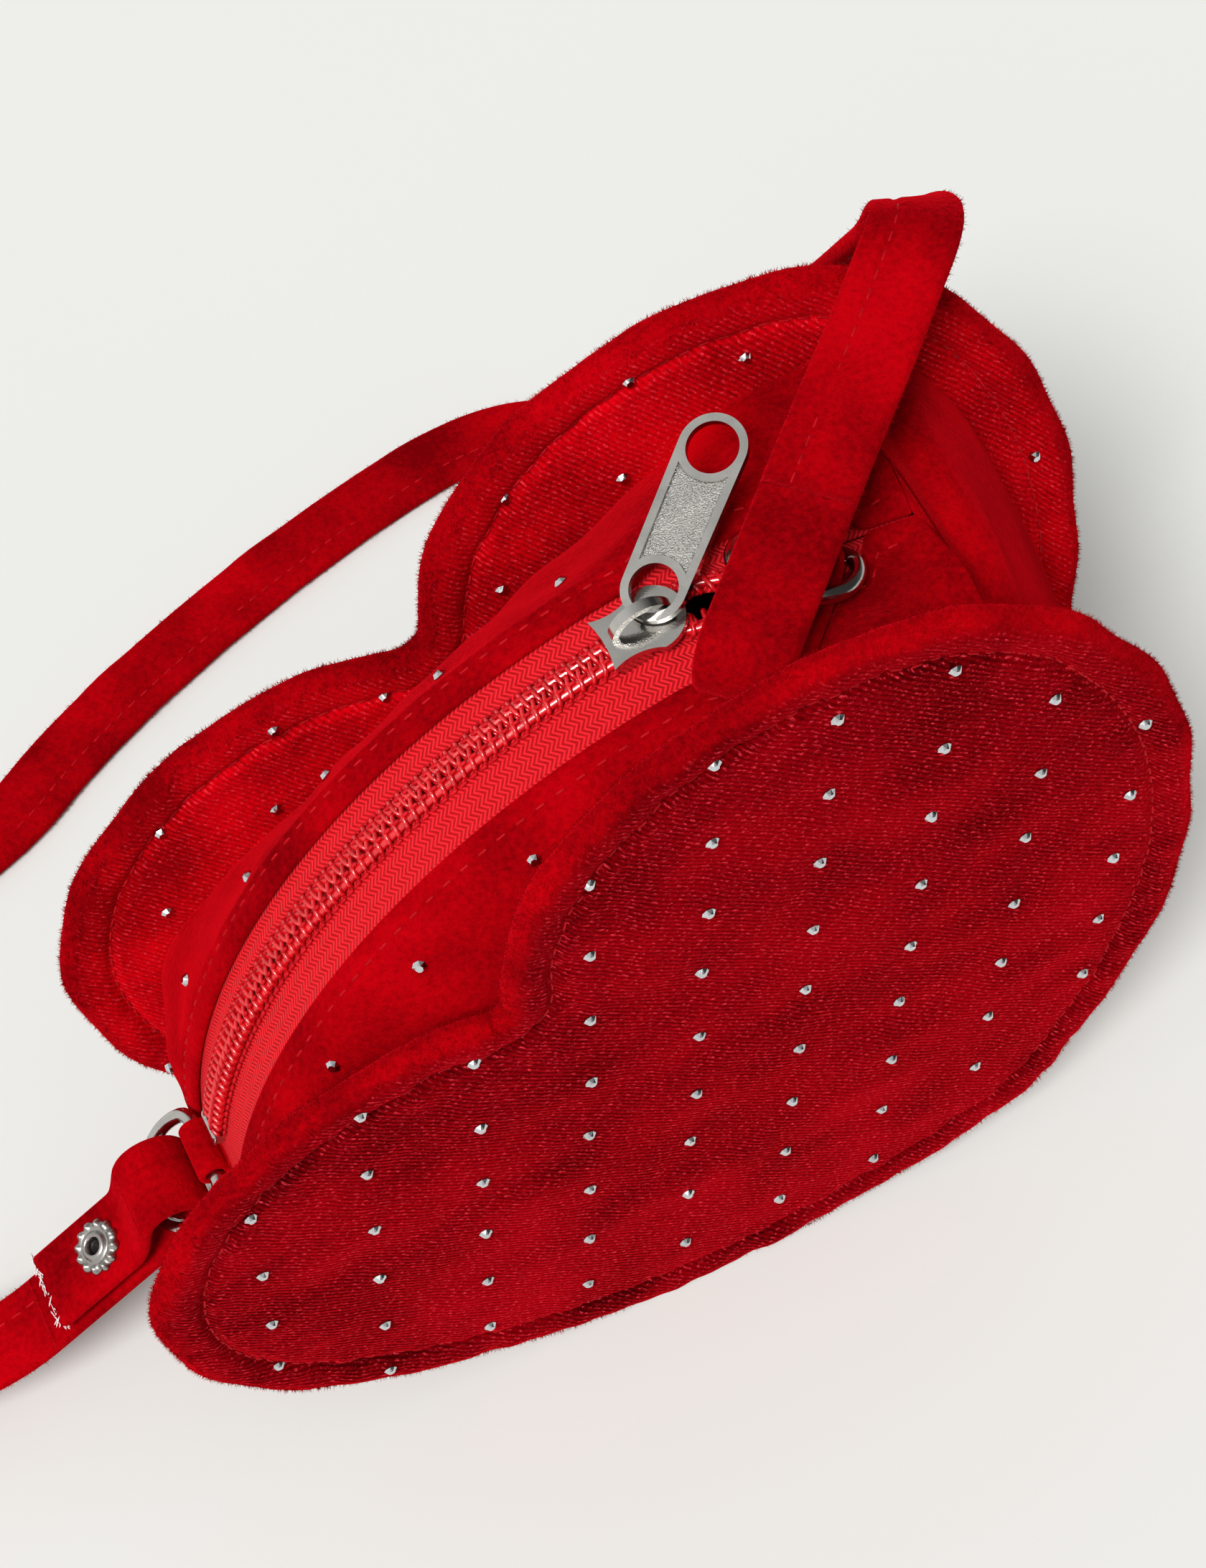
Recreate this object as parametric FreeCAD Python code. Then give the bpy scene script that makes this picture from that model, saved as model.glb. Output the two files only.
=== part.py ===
import FreeCAD, Part
import math
import os
from FreeCAD import Placement, Rotation, Vector

# A small heart shaped purse of red velvet, lying on its left flank. Millimetres.
# It is drawn upright, in the front panel's own axes: X to the right, Y to the back, Z up the heart,
# with the origin between the two lobe centres on the front panel's outer face. It is then set down.

# Heart panels: two lobes, a full flank each side, a blunt tip
lobe_spread = 44.1
lobe_r = 55.9
flank_r = 125.5
flank_start = -6.3
tip_r = 12.3
notch_r = 2.5
skin_t = 1.2
wadding_t = 1.8
wadding_inset = 2.5
rim_bevel = 0.8

# How the bag lies: turned on to its left flank, the back panel rolled on, leaning out and toed in
rest_turn = 44.5
press_depth = 1.2
floor_gap = 50.4
back_slip = 14.5
back_turn = 6.2
back_lean = 6.0
back_yaw = 3.2

# Pouch between the panels: its seam line on each panel's inner face
seam_inset = 14.0
pouch_top = 27.4
pouch_corner_r = 26.5
pouch_tip_r = 10.0
gusset_t = 1.6

# Zip on a circular arc over the pouch; angles are from the crown, positive to the right
zip_r = 110.0
zip_crown = 45.0
zip_depth = 33.5
zip_half_angle = 38.0
tape_front_w = 11.5
tape_back_w = 8.0
tape_t = 0.8
tape_tuck = 3.0
seam_angle = 52.0
band_t = 1.6
fold_w = 3.6
mouth_half_w = 6.5
mouth_power = 3

# Coil rows and stops
row_gap = 0.3
coil_w = 2.8
coil_core_h = 1.7
coil_rib_h = 0.6
coil_pitch = 3.0
coil_rib_share = 0.5
stop_length = 2.2
stop_margin = 0.5

# Slider
slider_angle = 28.6
slider_length = 14.0
nose_half_w = 5.7
waist_half_w = 4.2
tail_half_w = 4.8
tail_dip = 0.6
plate_t = 1.2
chain_play = 0.4
post_start = 3.4
post_length = 2.6
post_half_w = 0.9
flange_play = 0.35
flange_t = 0.7
bridge_w = 1.8
bridge_t = 1.1
bridge_leg = 1.0
bridge_clear = 3.6
bridge_span = 8.2

# Pull tab: a tapered plate with an eye round the bridge and a round hole at the free end
pull_length = 34.0
pull_end_r = 5.5
pull_eye_r = 5.2
pull_t = 1.5
pull_rim = 1.3
field_depth = 0.25
pull_bar_ahead = 0.6
pull_bar_lift = 1.3
pull_swing = 37.0
pull_rise = 10.0
pull_roll = 3.6

# D-rings and the velvet tabs that hold them
ring_wire_r = 1.3
ring_bow_r = 9.5
ring_bar_half = 6.2
ring_corner_r = 2.6
ring_play = 0.15
tab_t = 1.4
tab_w = 10.5
tab_gap = 0.7
ring_left_drop = 48.0
strap_left_drop = 40.0
ring_right_turn = 135.0
ring_right_rise = 24.0

# Strap, its ends folded through the rings, and the press snap
strap_w = 15.0
strap_t = 2.6
strap_leg = 36.0
fold_r = 4.4
fold_slack = 3.2
flap_close = 38.0
flap_flat = 20.0
loop_slack = 15.0
sewn_length = 18.0
snap_cap_r = 5.0
snap_cap_t = 1.2
snap_petals = 12
snap_petal_r = 1.2
snap_eye_r = 1.5
snap_eye_depth = 0.8
snap_disc_r = 4.2
snap_disc_t = 0.9
snap_nub_r = 1.8
snap_nub_play = 0.5
snap_post_r = 1.2
snap_post_play = 0.1
snap_lift = 0.3
snap_past_bend = 6.5
strap_exit_run = 11.0

# Strap route from the left end to the right one: middle line, from the front panel's foot on the floor
strap_route = [
    (-142, 34, 20.5), (-161, 37, 8), (-180, 48, 2.6), (-194, 67, 2.6), (-197, 90, 2.6),
    (-188, 112, 2.6), (-170, 129, 2.6), (-147, 136, 2.6), (-118, 139, 2.6), (-86, 147, 2.6),
    (-63, 163, 2.6), (-20, 182.5, 2.6), (22, 196, 2.6), (46, 200, 2.7), (61, 192, 7.5),
    (67, 174, 25), (69, 150, 59), (70, 118, 113), (71, 92, 158), (72, 75, 188.5),
    (51, 55, 182.5),
]

# Stones
stone_r = 1.15
stone_table_share = 0.55
stone_h = 0.9
stone_sides = 6
stone_grid = 27.4
stone_grid_x = -9.9
stone_grid_z = 87.7
stone_margin = 4.0

panel_t = 2 * skin_t + wadding_t
across = Vector(0, 1, 0)
upwards = Vector(0, 0, 1)
nodes = {}


def polar(centre, radius, angle):
    """Point at an angle in degrees, anticlockwise from +X in the XZ plane, about a centre."""
    turn = math.radians(angle)
    return centre + Vector(radius * math.cos(turn), 0, radius * math.sin(turn))


def arc(centre, radius, start, end):
    """Circular edge in the XZ plane."""
    points = [polar(centre, radius, angle) for angle in (start, (start + end) / 2, end)]
    return Part.Arc(*points).toShape()


def mirrored(shape):
    """The same shape on the other side of the heart's middle line."""
    return shape.mirror(Vector(0, 0, 0), Vector(1, 0, 0))


# The heart's arcs, each side: hollow notch, lobe, flank and tip, tangent one to the next
lobe_centre = Vector(lobe_spread, 0, 0)
notch_centre = Vector(0, 0, math.sqrt((lobe_r + notch_r) ** 2 - lobe_spread ** 2))
notch_angle = math.degrees(math.atan2(-notch_centre.z, lobe_spread))
flank_centre = polar(lobe_centre, lobe_r - flank_r, flank_start)
tip_centre = Vector(0, 0, flank_centre.z - math.sqrt((flank_r - tip_r) ** 2 - flank_centre.x ** 2))
tip_angle = math.degrees(math.atan2(tip_centre.z - flank_centre.z, -flank_centre.x))


def heart_face(inset):
    """The heart's outline, drawn in by an inset, as a face in the XZ plane."""
    edges = [
        arc(notch_centre, notch_r + inset, -90, notch_angle),
        arc(lobe_centre, lobe_r - inset, notch_angle + 180, flank_start),
        arc(flank_centre, flank_r - inset, flank_start, tip_angle),
        arc(tip_centre, tip_r - inset, tip_angle, -90),
    ]
    edges += [mirrored(edge) for edge in edges]
    return Part.Face(Part.Wire(Part.__sortEdges__(edges)))


def in_heart(x, z, margin):
    """True where a point is inside the heart by a margin."""
    at = Vector(abs(x), 0, z)
    if at.distanceToPoint(lobe_centre) < lobe_r - margin:
        return True
    if z < tip_centre.z:
        return at.distanceToPoint(tip_centre) < tip_r - margin
    return z < 0 and at.distanceToPoint(flank_centre) < flank_r - margin


# Setting down: the bag turns on to its left flank, and the flank's lowest line meets the floor
stand = Placement(Vector(0, 0, 0), Rotation(across, -rest_turn))
left_flank_centre = Vector(-flank_centre.x, 0, flank_centre.z)
contact = stand.multVec(left_flank_centre) - Vector(0, 0, flank_r)
roll = Placement(Vector(0, 0, 0), Rotation(across, back_turn), left_flank_centre)
lean = Placement(Vector(back_slip, floor_gap, 0), Rotation(Vector(1, 0, 0), -back_lean), contact)
toe_in = Placement(Vector(0, 0, 0), Rotation(Vector(0, 0, 1), -back_yaw), contact)
back_place = stand.inverse() * lean * toe_in * stand * roll
front_place = Placement(Vector(0, panel_t, 0), Rotation())


def layer(inset, start, thickness):
    """One flat layer of a panel, from a depth, in the heart's own axes."""
    face = heart_face(inset)
    face.translate(Vector(0, start, 0))
    return face.extrude(Vector(0, thickness, 0))


def bevelled(shape, depth):
    """A layer with its outer edge bevelled, on the face at the given depth."""
    edges = []
    for edge in shape.Edges:
        if abs(edge.BoundBox.YMin - depth) + abs(edge.BoundBox.YMax - depth) < rim_bevel:
            edges.append(edge)
    return shape.makeChamfer(rim_bevel, edges)


nodes["front_outer_panel"] = bevelled(layer(0, 0, skin_t), 0)
nodes["front_wadding"] = layer(wadding_inset, skin_t, wadding_t)
nodes["front_inner_panel"] = bevelled(layer(0, skin_t + wadding_t, skin_t), panel_t)
for name, shape in (
    ("back_inner_panel", bevelled(layer(0, 0, skin_t), 0)),
    ("back_wadding", layer(wadding_inset, skin_t, wadding_t)),
    ("back_outer_panel", bevelled(layer(0, skin_t + wadding_t, skin_t), panel_t)),
):
    shape.Placement = back_place
    nodes[name] = shape

# The pouch's seam line: a straight top, round corners, flanks set in from the heart's, a round tip
pouch_flank_r = flank_r - seam_inset
corner_reach = pouch_flank_r - pouch_corner_r
corner_end = math.degrees(math.asin((pouch_top - pouch_corner_r - flank_centre.z) / corner_reach))
corner_centre = polar(flank_centre, corner_reach, corner_end)
pouch_tip_drop = math.sqrt((pouch_flank_r - pouch_tip_r) ** 2 - flank_centre.x ** 2)
pouch_tip_centre = Vector(0, 0, flank_centre.z - pouch_tip_drop)
pouch_tip_angle = math.degrees(math.atan2(-pouch_tip_drop, -flank_centre.x))
zip_centre = Vector(0, 0, zip_crown - zip_r)


def ray_angle(point):
    """Angle of a point about the zip's centre, from the crown, in degrees."""
    return math.degrees(math.atan2(point.x - zip_centre.x, point.z - zip_centre.z))


def ray_end(ray, side, centre, radius):
    """Where a ray from the zip's centre leaves a circle on one side of the heart."""
    reach = Vector(side * centre.x, 0, centre.z) - zip_centre
    along = reach.dot(ray)
    off = (reach - ray * along).Length
    return zip_centre + ray * (along + math.sqrt(max(radius ** 2 - off ** 2, 0)))


def seam_on_ray(angle, inset):
    """Where a ray from the zip's centre meets the seam line's top, corner or flank, in a panel's axes."""
    turn = math.radians(angle)
    ray = Vector(math.sin(turn), 0, math.cos(turn))
    top = zip_centre + ray * ((pouch_top - inset - zip_centre.z) / ray.z)
    if abs(top.x) <= corner_centre.x:
        return top
    side = math.copysign(1, angle)
    corner = ray_end(ray, side, corner_centre, pouch_corner_r - inset)
    if corner.z > polar(flank_centre, pouch_flank_r - inset, corner_end).z:
        return corner
    return ray_end(ray, side, flank_centre, pouch_flank_r - inset)


def seam_point(place, angle, inset):
    """Point of a panel's seam line that lies at an angle about the zip's centre once the panel is placed."""
    guess = angle
    for _ in range(12):
        point = place.multVec(seam_on_ray(guess, inset))
        guess += angle - ray_angle(point)
    return point


def spread(angle):
    """How far each lip of the open mouth stands from its closed place: a smooth bump past the slider."""
    start = slider_angle - math.degrees(post_half_w / zip_r)
    share = (angle - start) / (zip_half_angle - start)
    if share <= 0 or share >= 1:
        return 0
    return mouth_half_w * math.sin(math.pi * share) ** mouth_power


def on_zip(angle, offset, height):
    """Point at an angle along the zip, an offset across it and a height above the tape's middle."""
    turn = math.radians(angle)
    ray = Vector(math.sin(turn), 0, math.cos(turn))
    return zip_centre + ray * (zip_r + height) + Vector(0, zip_depth + offset, 0)


def flat_face(points):
    """Flat face inside a polygon."""
    return Part.Face(Part.makePolygon(points + points[:1]))


def ruled(sections, closed=False):
    """Solid of flat triangles between a row of like polygons, with flat ends or joined to itself.

    Each four sided patch is split along its shorter diagonal, so both sides of a thin strip match.
    """
    faces = [] if closed else [flat_face(sections[0][::-1]), flat_face(sections[-1])]
    pairs = list(zip(sections, sections[1:] + sections[:1]))
    for near, far in pairs if closed else pairs[:-1]:
        for i in range(len(near)):
            patch = [near[i - 1], near[i], far[i], far[i - 1]]
            if patch[1].distanceToPoint(patch[3]) < patch[0].distanceToPoint(patch[2]):
                patch = patch[1:] + patch[:1]
            faces += [flat_face(patch[:3]), flat_face([patch[0]] + patch[2:])]
    shell = Part.makeShell(faces)
    shell.sewShape()
    solid = Part.Solid(shell)
    if solid.Volume < 0:
        solid.reverse()
    return solid


def steps(start, end, count):
    """Evenly spaced values, both ends included."""
    return [start + (end - start) * i / count for i in range(count + 1)]


mouth_steps = 10
closed_steps = 12
arc_steps = 4
bend_steps = 8
flank_steps = 8
bow_steps = 14
corner_steps = 3
wire_sides = 8
corner_share = 0.45
slider_tail_angle = slider_angle - math.degrees(post_half_w / zip_r)
band_angles = steps(-seam_angle, slider_tail_angle, closed_steps)
band_angles += steps(slider_tail_angle, zip_half_angle, mouth_steps)[1:]
band_angles += [seam_angle]
band_low = tape_t / 2
band_high = band_low + band_t


def zip_band(place, side, tape_w):
    """Velvet band: flat folded edge on the tape, then a slope down to the seam on its panel."""
    sections = []
    for angle in band_angles:
        edge = tape_w + spread(angle)
        sections.append([
            on_zip(angle, side * edge, band_high),
            on_zip(angle, side * (edge + fold_w), band_high),
            seam_point(place, angle, 0),
            seam_point(place, angle, gusset_t),
            on_zip(angle, side * (edge + fold_w), band_low),
            on_zip(angle, side * edge, band_low),
        ])
    return ruled(sections)


def zip_tape(side, tape_w):
    """Flat tape, from the coil row's inner side to where it is tucked under the band."""
    sections = []
    for angle in band_angles:
        inner = row_gap / 2 + spread(angle)
        outer = tape_w + tape_tuck + spread(angle)
        sections.append([
            on_zip(angle, side * inner, -tape_t / 2),
            on_zip(angle, side * outer, -tape_t / 2),
            on_zip(angle, side * outer, tape_t / 2),
            on_zip(angle, side * inner, tape_t / 2),
        ])
    return ruled(sections)


def coil_row(side):
    """Coil row as one bar with a rib for each turn of the coil, following the tape's inner edge."""
    pitch = math.degrees(coil_pitch / zip_r)
    count = round(2 * zip_half_angle / pitch)
    pitch = 2 * zip_half_angle / count
    rise = pitch * (1 - coil_rib_share) / 2
    sections = []
    for i in range(count):
        start = -zip_half_angle + i * pitch
        for step, height in ((0, 0), (rise, coil_rib_h), (pitch - rise, coil_rib_h)):
            sections.append(row_section(side, start + step, height))
    sections.append(row_section(side, zip_half_angle, 0))
    return ruled(sections)


def row_section(side, angle, rib):
    """Rectangle across a coil row."""
    inner = row_gap / 2 + spread(angle)
    top = tape_t / 2 + coil_core_h + rib
    return [
        on_zip(angle, side * inner, tape_t / 2),
        on_zip(angle, side * (inner + coil_w), tape_t / 2),
        on_zip(angle, side * (inner + coil_w), top),
        on_zip(angle, side * inner, top),
    ]


nodes["zip_band_front"] = zip_band(front_place, -1, tape_front_w)
nodes["zip_band_back"] = zip_band(back_place, 1, tape_back_w)
nodes["zip_tape_front"] = zip_tape(-1, tape_front_w)
nodes["zip_tape_back"] = zip_tape(1, tape_back_w)
nodes["zip_coil_front"] = coil_row(-1)
nodes["zip_coil_back"] = coil_row(1)


def lower_gusset():
    """Strip round the pouch's sides, flanks and tip, straight across from panel to panel."""
    right = [(corner_centre, pouch_corner_r, a) for a in steps(90, corner_end, bend_steps)]
    right += [(flank_centre, pouch_flank_r, a) for a in steps(corner_end, pouch_tip_angle, flank_steps)[1:]]
    right += [(pouch_tip_centre, pouch_tip_r, (pouch_tip_angle - 90) / 2)]
    tip = [(pouch_tip_centre, pouch_tip_r, -90)]
    left = [(Vector(-c.x, 0, c.z), r, 180 - a) for c, r, a in reversed(right)]
    sections = [gusset_ends(seam_angle)]
    for centre, radius, angle in right + tip + left:
        outer, inner = polar(centre, radius, angle), polar(centre, radius - gusset_t, angle)
        ends = [front_place.multVec(outer), back_place.multVec(outer)]
        if min(abs(ray_angle(end)) for end in ends) > seam_angle:
            sections.append(ends + [back_place.multVec(inner), front_place.multVec(inner)])
    sections.append(gusset_ends(-seam_angle))
    return ruled(sections)


def gusset_ends(angle):
    """Section of the lower gusset where it meets the zip bands at a side seam."""
    return [
        seam_point(front_place, angle, 0), seam_point(back_place, angle, 0),
        seam_point(back_place, angle, gusset_t), seam_point(front_place, angle, gusset_t),
    ]


nodes["lower_gusset"] = lower_gusset()


def zip_frame(angle, height):
    """Local axes on the zip: X along its travel, Y across, Z outwards, from a height."""
    return Placement(on_zip(angle, 0, height), Rotation(across, angle))


def prism(edges, start, thickness):
    """Solid of a closed outline drawn in the local XY plane, from a height."""
    face = Part.Face(Part.Wire(Part.__sortEdges__(edges)))
    face.translate(Vector(0, 0, start))
    return face.extrude(Vector(0, 0, thickness))


def loop(points):
    """Closed polygon of straight edges."""
    return Part.makePolygon(points + points[:1]).Edges


def centred_box(x, y, z, length, width, height):
    """Box centred on x and y, standing on z."""
    return Part.makeBox(length, width, height, Vector(x - length / 2, y - width / 2, z))


# Stops at the ends of the coil rows, seated on the tape
chain_top = tape_t / 2 + coil_core_h + coil_rib_h
stop_turn = math.degrees((stop_length / 2 + stop_margin) / zip_r)
row_middle = (row_gap + coil_w) / 2


def stop(angle, offset, width):
    """Small block across the tape, its long edges rounded."""
    block = centred_box(0, offset, 0, stop_length, width, coil_core_h + coil_rib_h)
    edges = [e for e in block.Edges if e.BoundBox.ZMin > coil_core_h]
    block = block.makeFillet(coil_rib_h, edges)
    block.Placement = zip_frame(angle, tape_t / 2)
    return block


nodes["zip_bottom_stop"] = stop(-zip_half_angle - stop_turn, 0, row_gap + 2 * coil_w)
nodes["zip_top_stops"] = Part.makeCompound(
    [stop(zip_half_angle + stop_turn, side * row_middle, coil_w) for side in (-1, 1)])

# Slider: shield plate, lower plate and the post that joins them, with flanges beside the coils
shield_low = chain_top + chain_play
shield_high = shield_low + plate_t
lower_high = -tape_t / 2 - chain_play


def shield_outline():
    """Plate outline: round nose, drawn-in waist, fish-tail rear."""
    rear = -slider_length / 2
    shoulder = slider_length / 2 - nose_half_w
    waist = (rear + shoulder) / 2
    tip = Vector(slider_length / 2, 0, 0)
    edges = [Part.Arc(
        Vector(shoulder, nose_half_w, 0), tip, Vector(shoulder, -nose_half_w, 0)).toShape()]
    for side in (-1, 1):
        edges.append(Part.Arc(
            Vector(shoulder, side * nose_half_w, 0), Vector(waist, side * waist_half_w, 0),
            Vector(rear, side * tail_half_w, 0)).toShape())
    dip = Vector(rear + tail_dip, 0, 0)
    edges.append(Part.Arc(
        Vector(rear, tail_half_w, 0), dip, Vector(rear, -tail_half_w, 0)).toShape())
    return edges


def slider_body():
    """Both plates, the wedge shaped post between the parting rows, and the two flanges at the rear."""
    body = prism(shield_outline(), shield_low, plate_t)
    post = [
        Vector(post_start, 0, 0), Vector(post_start + post_length / 2, post_half_w, 0),
        Vector(post_start + post_length, 0, 0), Vector(post_start + post_length / 2, -post_half_w, 0)]
    pieces = [
        prism(shield_outline(), lower_high - plate_t, plate_t),
        prism(loop(post), lower_high, shield_low - lower_high)]
    flange_in = row_gap / 2 + coil_w + flange_play
    flange_length = slider_length / 2 - tail_dip - post_half_w
    flange_low = tape_t / 2 + flange_play
    for side in (-1, 1):
        pieces.append(centred_box(
            -post_half_w - flange_length / 2, side * (flange_in + flange_t / 2), flange_low,
            flange_length, flange_t, shield_low - flange_low))
    return body.multiFuse(pieces).removeSplitter()


def arch(half, leg, rise):
    """Arch outline in the XZ plane: two upright legs and one arc over them."""
    points = [Vector(-half, 0, 0), Vector(-half, 0, leg), Vector(half, 0, leg), Vector(half, 0, 0)]
    return [
        Part.makeLine(points[0], points[1]), Part.Arc(points[1], Vector(0, 0, rise), points[2]).toShape(),
        Part.makeLine(points[2], points[3]), Part.makeLine(points[3], points[0])]


def slider_bridge():
    """Flat strip bent into an arch along the slider, for the pull tab's eye."""
    outer = Part.Face(Part.Wire(arch(bridge_span / 2 + bridge_t, bridge_leg, bridge_clear + bridge_t)))
    inner = Part.Face(Part.Wire(arch(bridge_span / 2, bridge_leg, bridge_clear)))
    strip = outer.cut(inner)
    strip.translate(Vector(0, -bridge_w / 2, shield_high))
    return strip.extrude(Vector(0, bridge_w, 0))


slider_frame = zip_frame(slider_angle, 0)
nodes["slider_body"] = slider_body()
nodes["slider_bridge"] = slider_bridge()
for name in ("slider_body", "slider_bridge"):
    nodes[name].Placement = slider_frame


def tapered_outline(near_r, far_r, near_x, far_x):
    """Outline of two circles on the X axis and their outer tangents."""
    tilt = math.asin((far_r - near_r) / (far_x - near_x))
    points = {}
    for name, x, radius in (("near", near_x, near_r), ("far", far_x, far_r)):
        for side in (-1, 1):
            points[name, side] = Vector(x - radius * math.sin(tilt), side * radius * math.cos(tilt), 0)
    ends = {"near": Vector(near_x - near_r, 0, 0), "far": Vector(far_x + far_r, 0, 0)}
    edges = [Part.Arc(points[end, 1], ends[end], points[end, -1]).toShape() for end in ("near", "far")]
    return edges + [Part.makeLine(points["near", side], points["far", side]) for side in (-1, 1)]


def pull_tab():
    """Plate with an eye, an end hole and a recessed field on both faces, its bar on local Y."""
    eye_x = pull_eye_r - pull_rim / 2
    hole_x = pull_length - pull_rim / 2 - pull_end_r
    eye_hole_r = pull_eye_r - pull_rim
    end_hole_r = pull_end_r - pull_rim
    plate = prism(tapered_outline(pull_eye_r, pull_end_r, eye_x, hole_x), -pull_t / 2, pull_t)
    holes = [(eye_x, eye_hole_r), (hole_x, end_hole_r)]
    for x, radius in holes:
        plate = plate.cut(Part.makeCylinder(radius, pull_t, Vector(x, 0, -pull_t / 2)))
    for low in (-pull_t / 2, pull_t / 2 - field_depth):
        field = prism(tapered_outline(eye_hole_r, end_hole_r, eye_x, hole_x), low, field_depth)
        for x, radius in holes:
            field = field.cut(Part.makeCylinder(radius + pull_rim, pull_t, Vector(x, 0, -pull_t / 2)))
        plate = plate.cut(field)
    return plate


# At rest the tab leans to the right and the back, rolled a little about its own length
pull_turn = Rotation(upwards, pull_swing) * Rotation(across, -pull_rise)
pull_turn = pull_turn * Rotation(Vector(1, 0, 0), pull_roll)
pull_place = slider_frame * Placement(Vector(pull_bar_ahead, 0, shield_high + pull_bar_lift), pull_turn)
nodes["pull_tab"] = pull_tab()
nodes["pull_tab"].Placement = pull_place


# D-rings: round wire, a straight bar on the local Y axis and a bow towards local X
bow_x = ring_corner_r + math.sqrt((ring_bow_r - ring_corner_r) ** 2 - ring_bar_half ** 2)
ring_reach = bow_x + ring_bow_r
clip_r = ring_wire_r + ring_play + tab_t
clip_height = clip_r + ring_play


def d_ring():
    """Wire of an eight sided section carried round a bar, two corners and a bow, all tangent."""
    turn = math.degrees(math.atan2(ring_bar_half, ring_corner_r - bow_x))
    corner = [(ring_corner_r, ring_bar_half, ring_corner_r, a) for a in steps(180, turn, corner_steps)]
    bow = [(bow_x, 0, ring_bow_r, a) for a in steps(turn, -turn, bow_steps)[1:-1]]
    other = [(x, -y, radius, -a) for x, y, radius, a in reversed(corner)]
    sections = []
    for x, y, radius, angle in corner + bow + other:
        spin = math.radians(angle)
        way = Vector(math.cos(spin), math.sin(spin), 0)
        section = []
        for i in range(wire_sides):
            tilt = 2 * math.pi * i / wire_sides
            reach = way * (radius + ring_wire_r * math.cos(tilt))
            section.append(Vector(x, y, ring_wire_r * math.sin(tilt)) + reach)
        sections.append(section)
    return ruled(sections, True)


def ring_clip():
    """Velvet tab: a loop round the ring's bar, on the local Y axis, with a short stem below."""
    start = Vector(0, -tab_w / 2, 0)
    eye = Part.makeCylinder(clip_r, tab_w, start, across)
    stem = centred_box(0, 0, -clip_height, 2 * tab_t, tab_w, clip_height)
    hole = Part.makeCylinder(ring_wire_r + ring_play, tab_w, start, across)
    return eye.fuse(stem).removeSplitter().cut(hole)


def turned(axis, angle):
    """Placement that only turns."""
    return Placement(Vector(0, 0, 0), Rotation(axis, angle))


bar_height = tape_t / 2 + clip_height
tab_reach = stop_margin + stop_length + tab_gap + tab_w / 2
tab_angle = zip_half_angle + math.degrees(tab_reach / zip_r)
left_clip = zip_frame(-tab_angle, bar_height)
right_clip = zip_frame(tab_angle, bar_height) * turned(upwards, -ring_right_turn)
ring_left = left_clip * turned(across, 180 + 90 - ring_left_drop)
ring_right = right_clip * turned(across, -ring_right_rise)
for side, clip, ring in (("left", left_clip, ring_left), ("right", right_clip, ring_right)):
    nodes["ring_tab_" + side] = ring_clip()
    nodes["ring_tab_" + side].Placement = clip
    nodes["d_ring_" + side] = d_ring()
    nodes["d_ring_" + side].Placement = ring


# Strap ends. The left one goes through its ring and back, and the turned back flap snaps shut
def across_strap(edges):
    """Solid of an outline in the local XZ plane, as wide as the strap."""
    face = Part.Face(Part.Wire(Part.__sortEdges__(edges)))
    face.translate(Vector(0, -strap_w / 2, 0))
    return face.extrude(Vector(0, strap_w, 0))


def disc(radius, x, low, high):
    """Upright round disc at a distance along the strap."""
    return Part.makeCylinder(radius, high - low, Vector(x, 0, low))


origin = Vector(0, 0, 0)
fold_out = fold_r + strap_t
crease_angle = 90 - flap_close
snap_gap = 2 * snap_disc_t + snap_lift
slope_drop = fold_r * math.cos(math.radians(flap_close)) + fold_r - snap_gap
slope_length = slope_drop / math.sin(math.radians(flap_close))
slope = polar(origin, slope_length, -flap_close)
crease_in = polar(origin, fold_r, crease_angle)
crease_out = polar(origin, fold_out, crease_angle)
bend_in = crease_in + slope
flap_low = bend_in.z
flap_high = flap_low + strap_t
bend_out = crease_out + slope * ((crease_out.z - flap_high) / -slope.z)
flap_end = bend_in.x + flap_flat
snap_x = bend_in.x + snap_past_bend
post_hole_r = snap_post_r + snap_post_play


def strap_end_left():
    """Leg that carries on as the strap, and the fold through the ring, up to the flap's crease."""
    ends = [Vector(strap_leg, 0, -fold_out), Vector(0, 0, -fold_out)]
    back = [Vector(0, 0, -fold_r), Vector(strap_leg, 0, -fold_r)]
    edges = [
        Part.makeLine(*ends), Part.Arc(ends[1], Vector(-fold_out, 0, 0), crease_out).toShape(),
        Part.makeLine(crease_out, crease_in), Part.Arc(crease_in, Vector(-fold_r, 0, 0), back[0]).toShape(),
        Part.makeLine(*back), Part.makeLine(back[1], ends[0])]
    return across_strap(edges).cut(disc(post_hole_r, snap_x, -fold_out, -fold_r))


def strap_flap_left():
    """Turned back flap: a slope down from the crease, then a flat that carries the snap."""
    points = [
        crease_in, bend_in, Vector(flap_end, 0, flap_low),
        Vector(flap_end, 0, flap_high), bend_out, crease_out]
    return across_strap(loop(points)).cut(disc(post_hole_r, snap_x, flap_low, flap_high))


def snap_cap():
    """Flower shaped cap with an eye in its middle, and the post that goes through the flap."""
    ring_r = snap_cap_r - snap_petal_r
    top = flap_high + snap_cap_t
    cap = disc(ring_r, snap_x, flap_high, top)
    petals = []
    for i in range(snap_petals):
        turn = 2 * math.pi * i / snap_petals
        petal = disc(snap_petal_r, snap_x + ring_r * math.cos(turn), flap_high, top)
        petal.translate(Vector(0, ring_r * math.sin(turn), 0))
        petals.append(petal)
    cap = cap.multiFuse(petals).cut(disc(snap_eye_r, snap_x, top - snap_eye_depth, top))
    return cap.fuse(disc(snap_post_r, snap_x, flap_low, flap_high)).removeSplitter()


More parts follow.
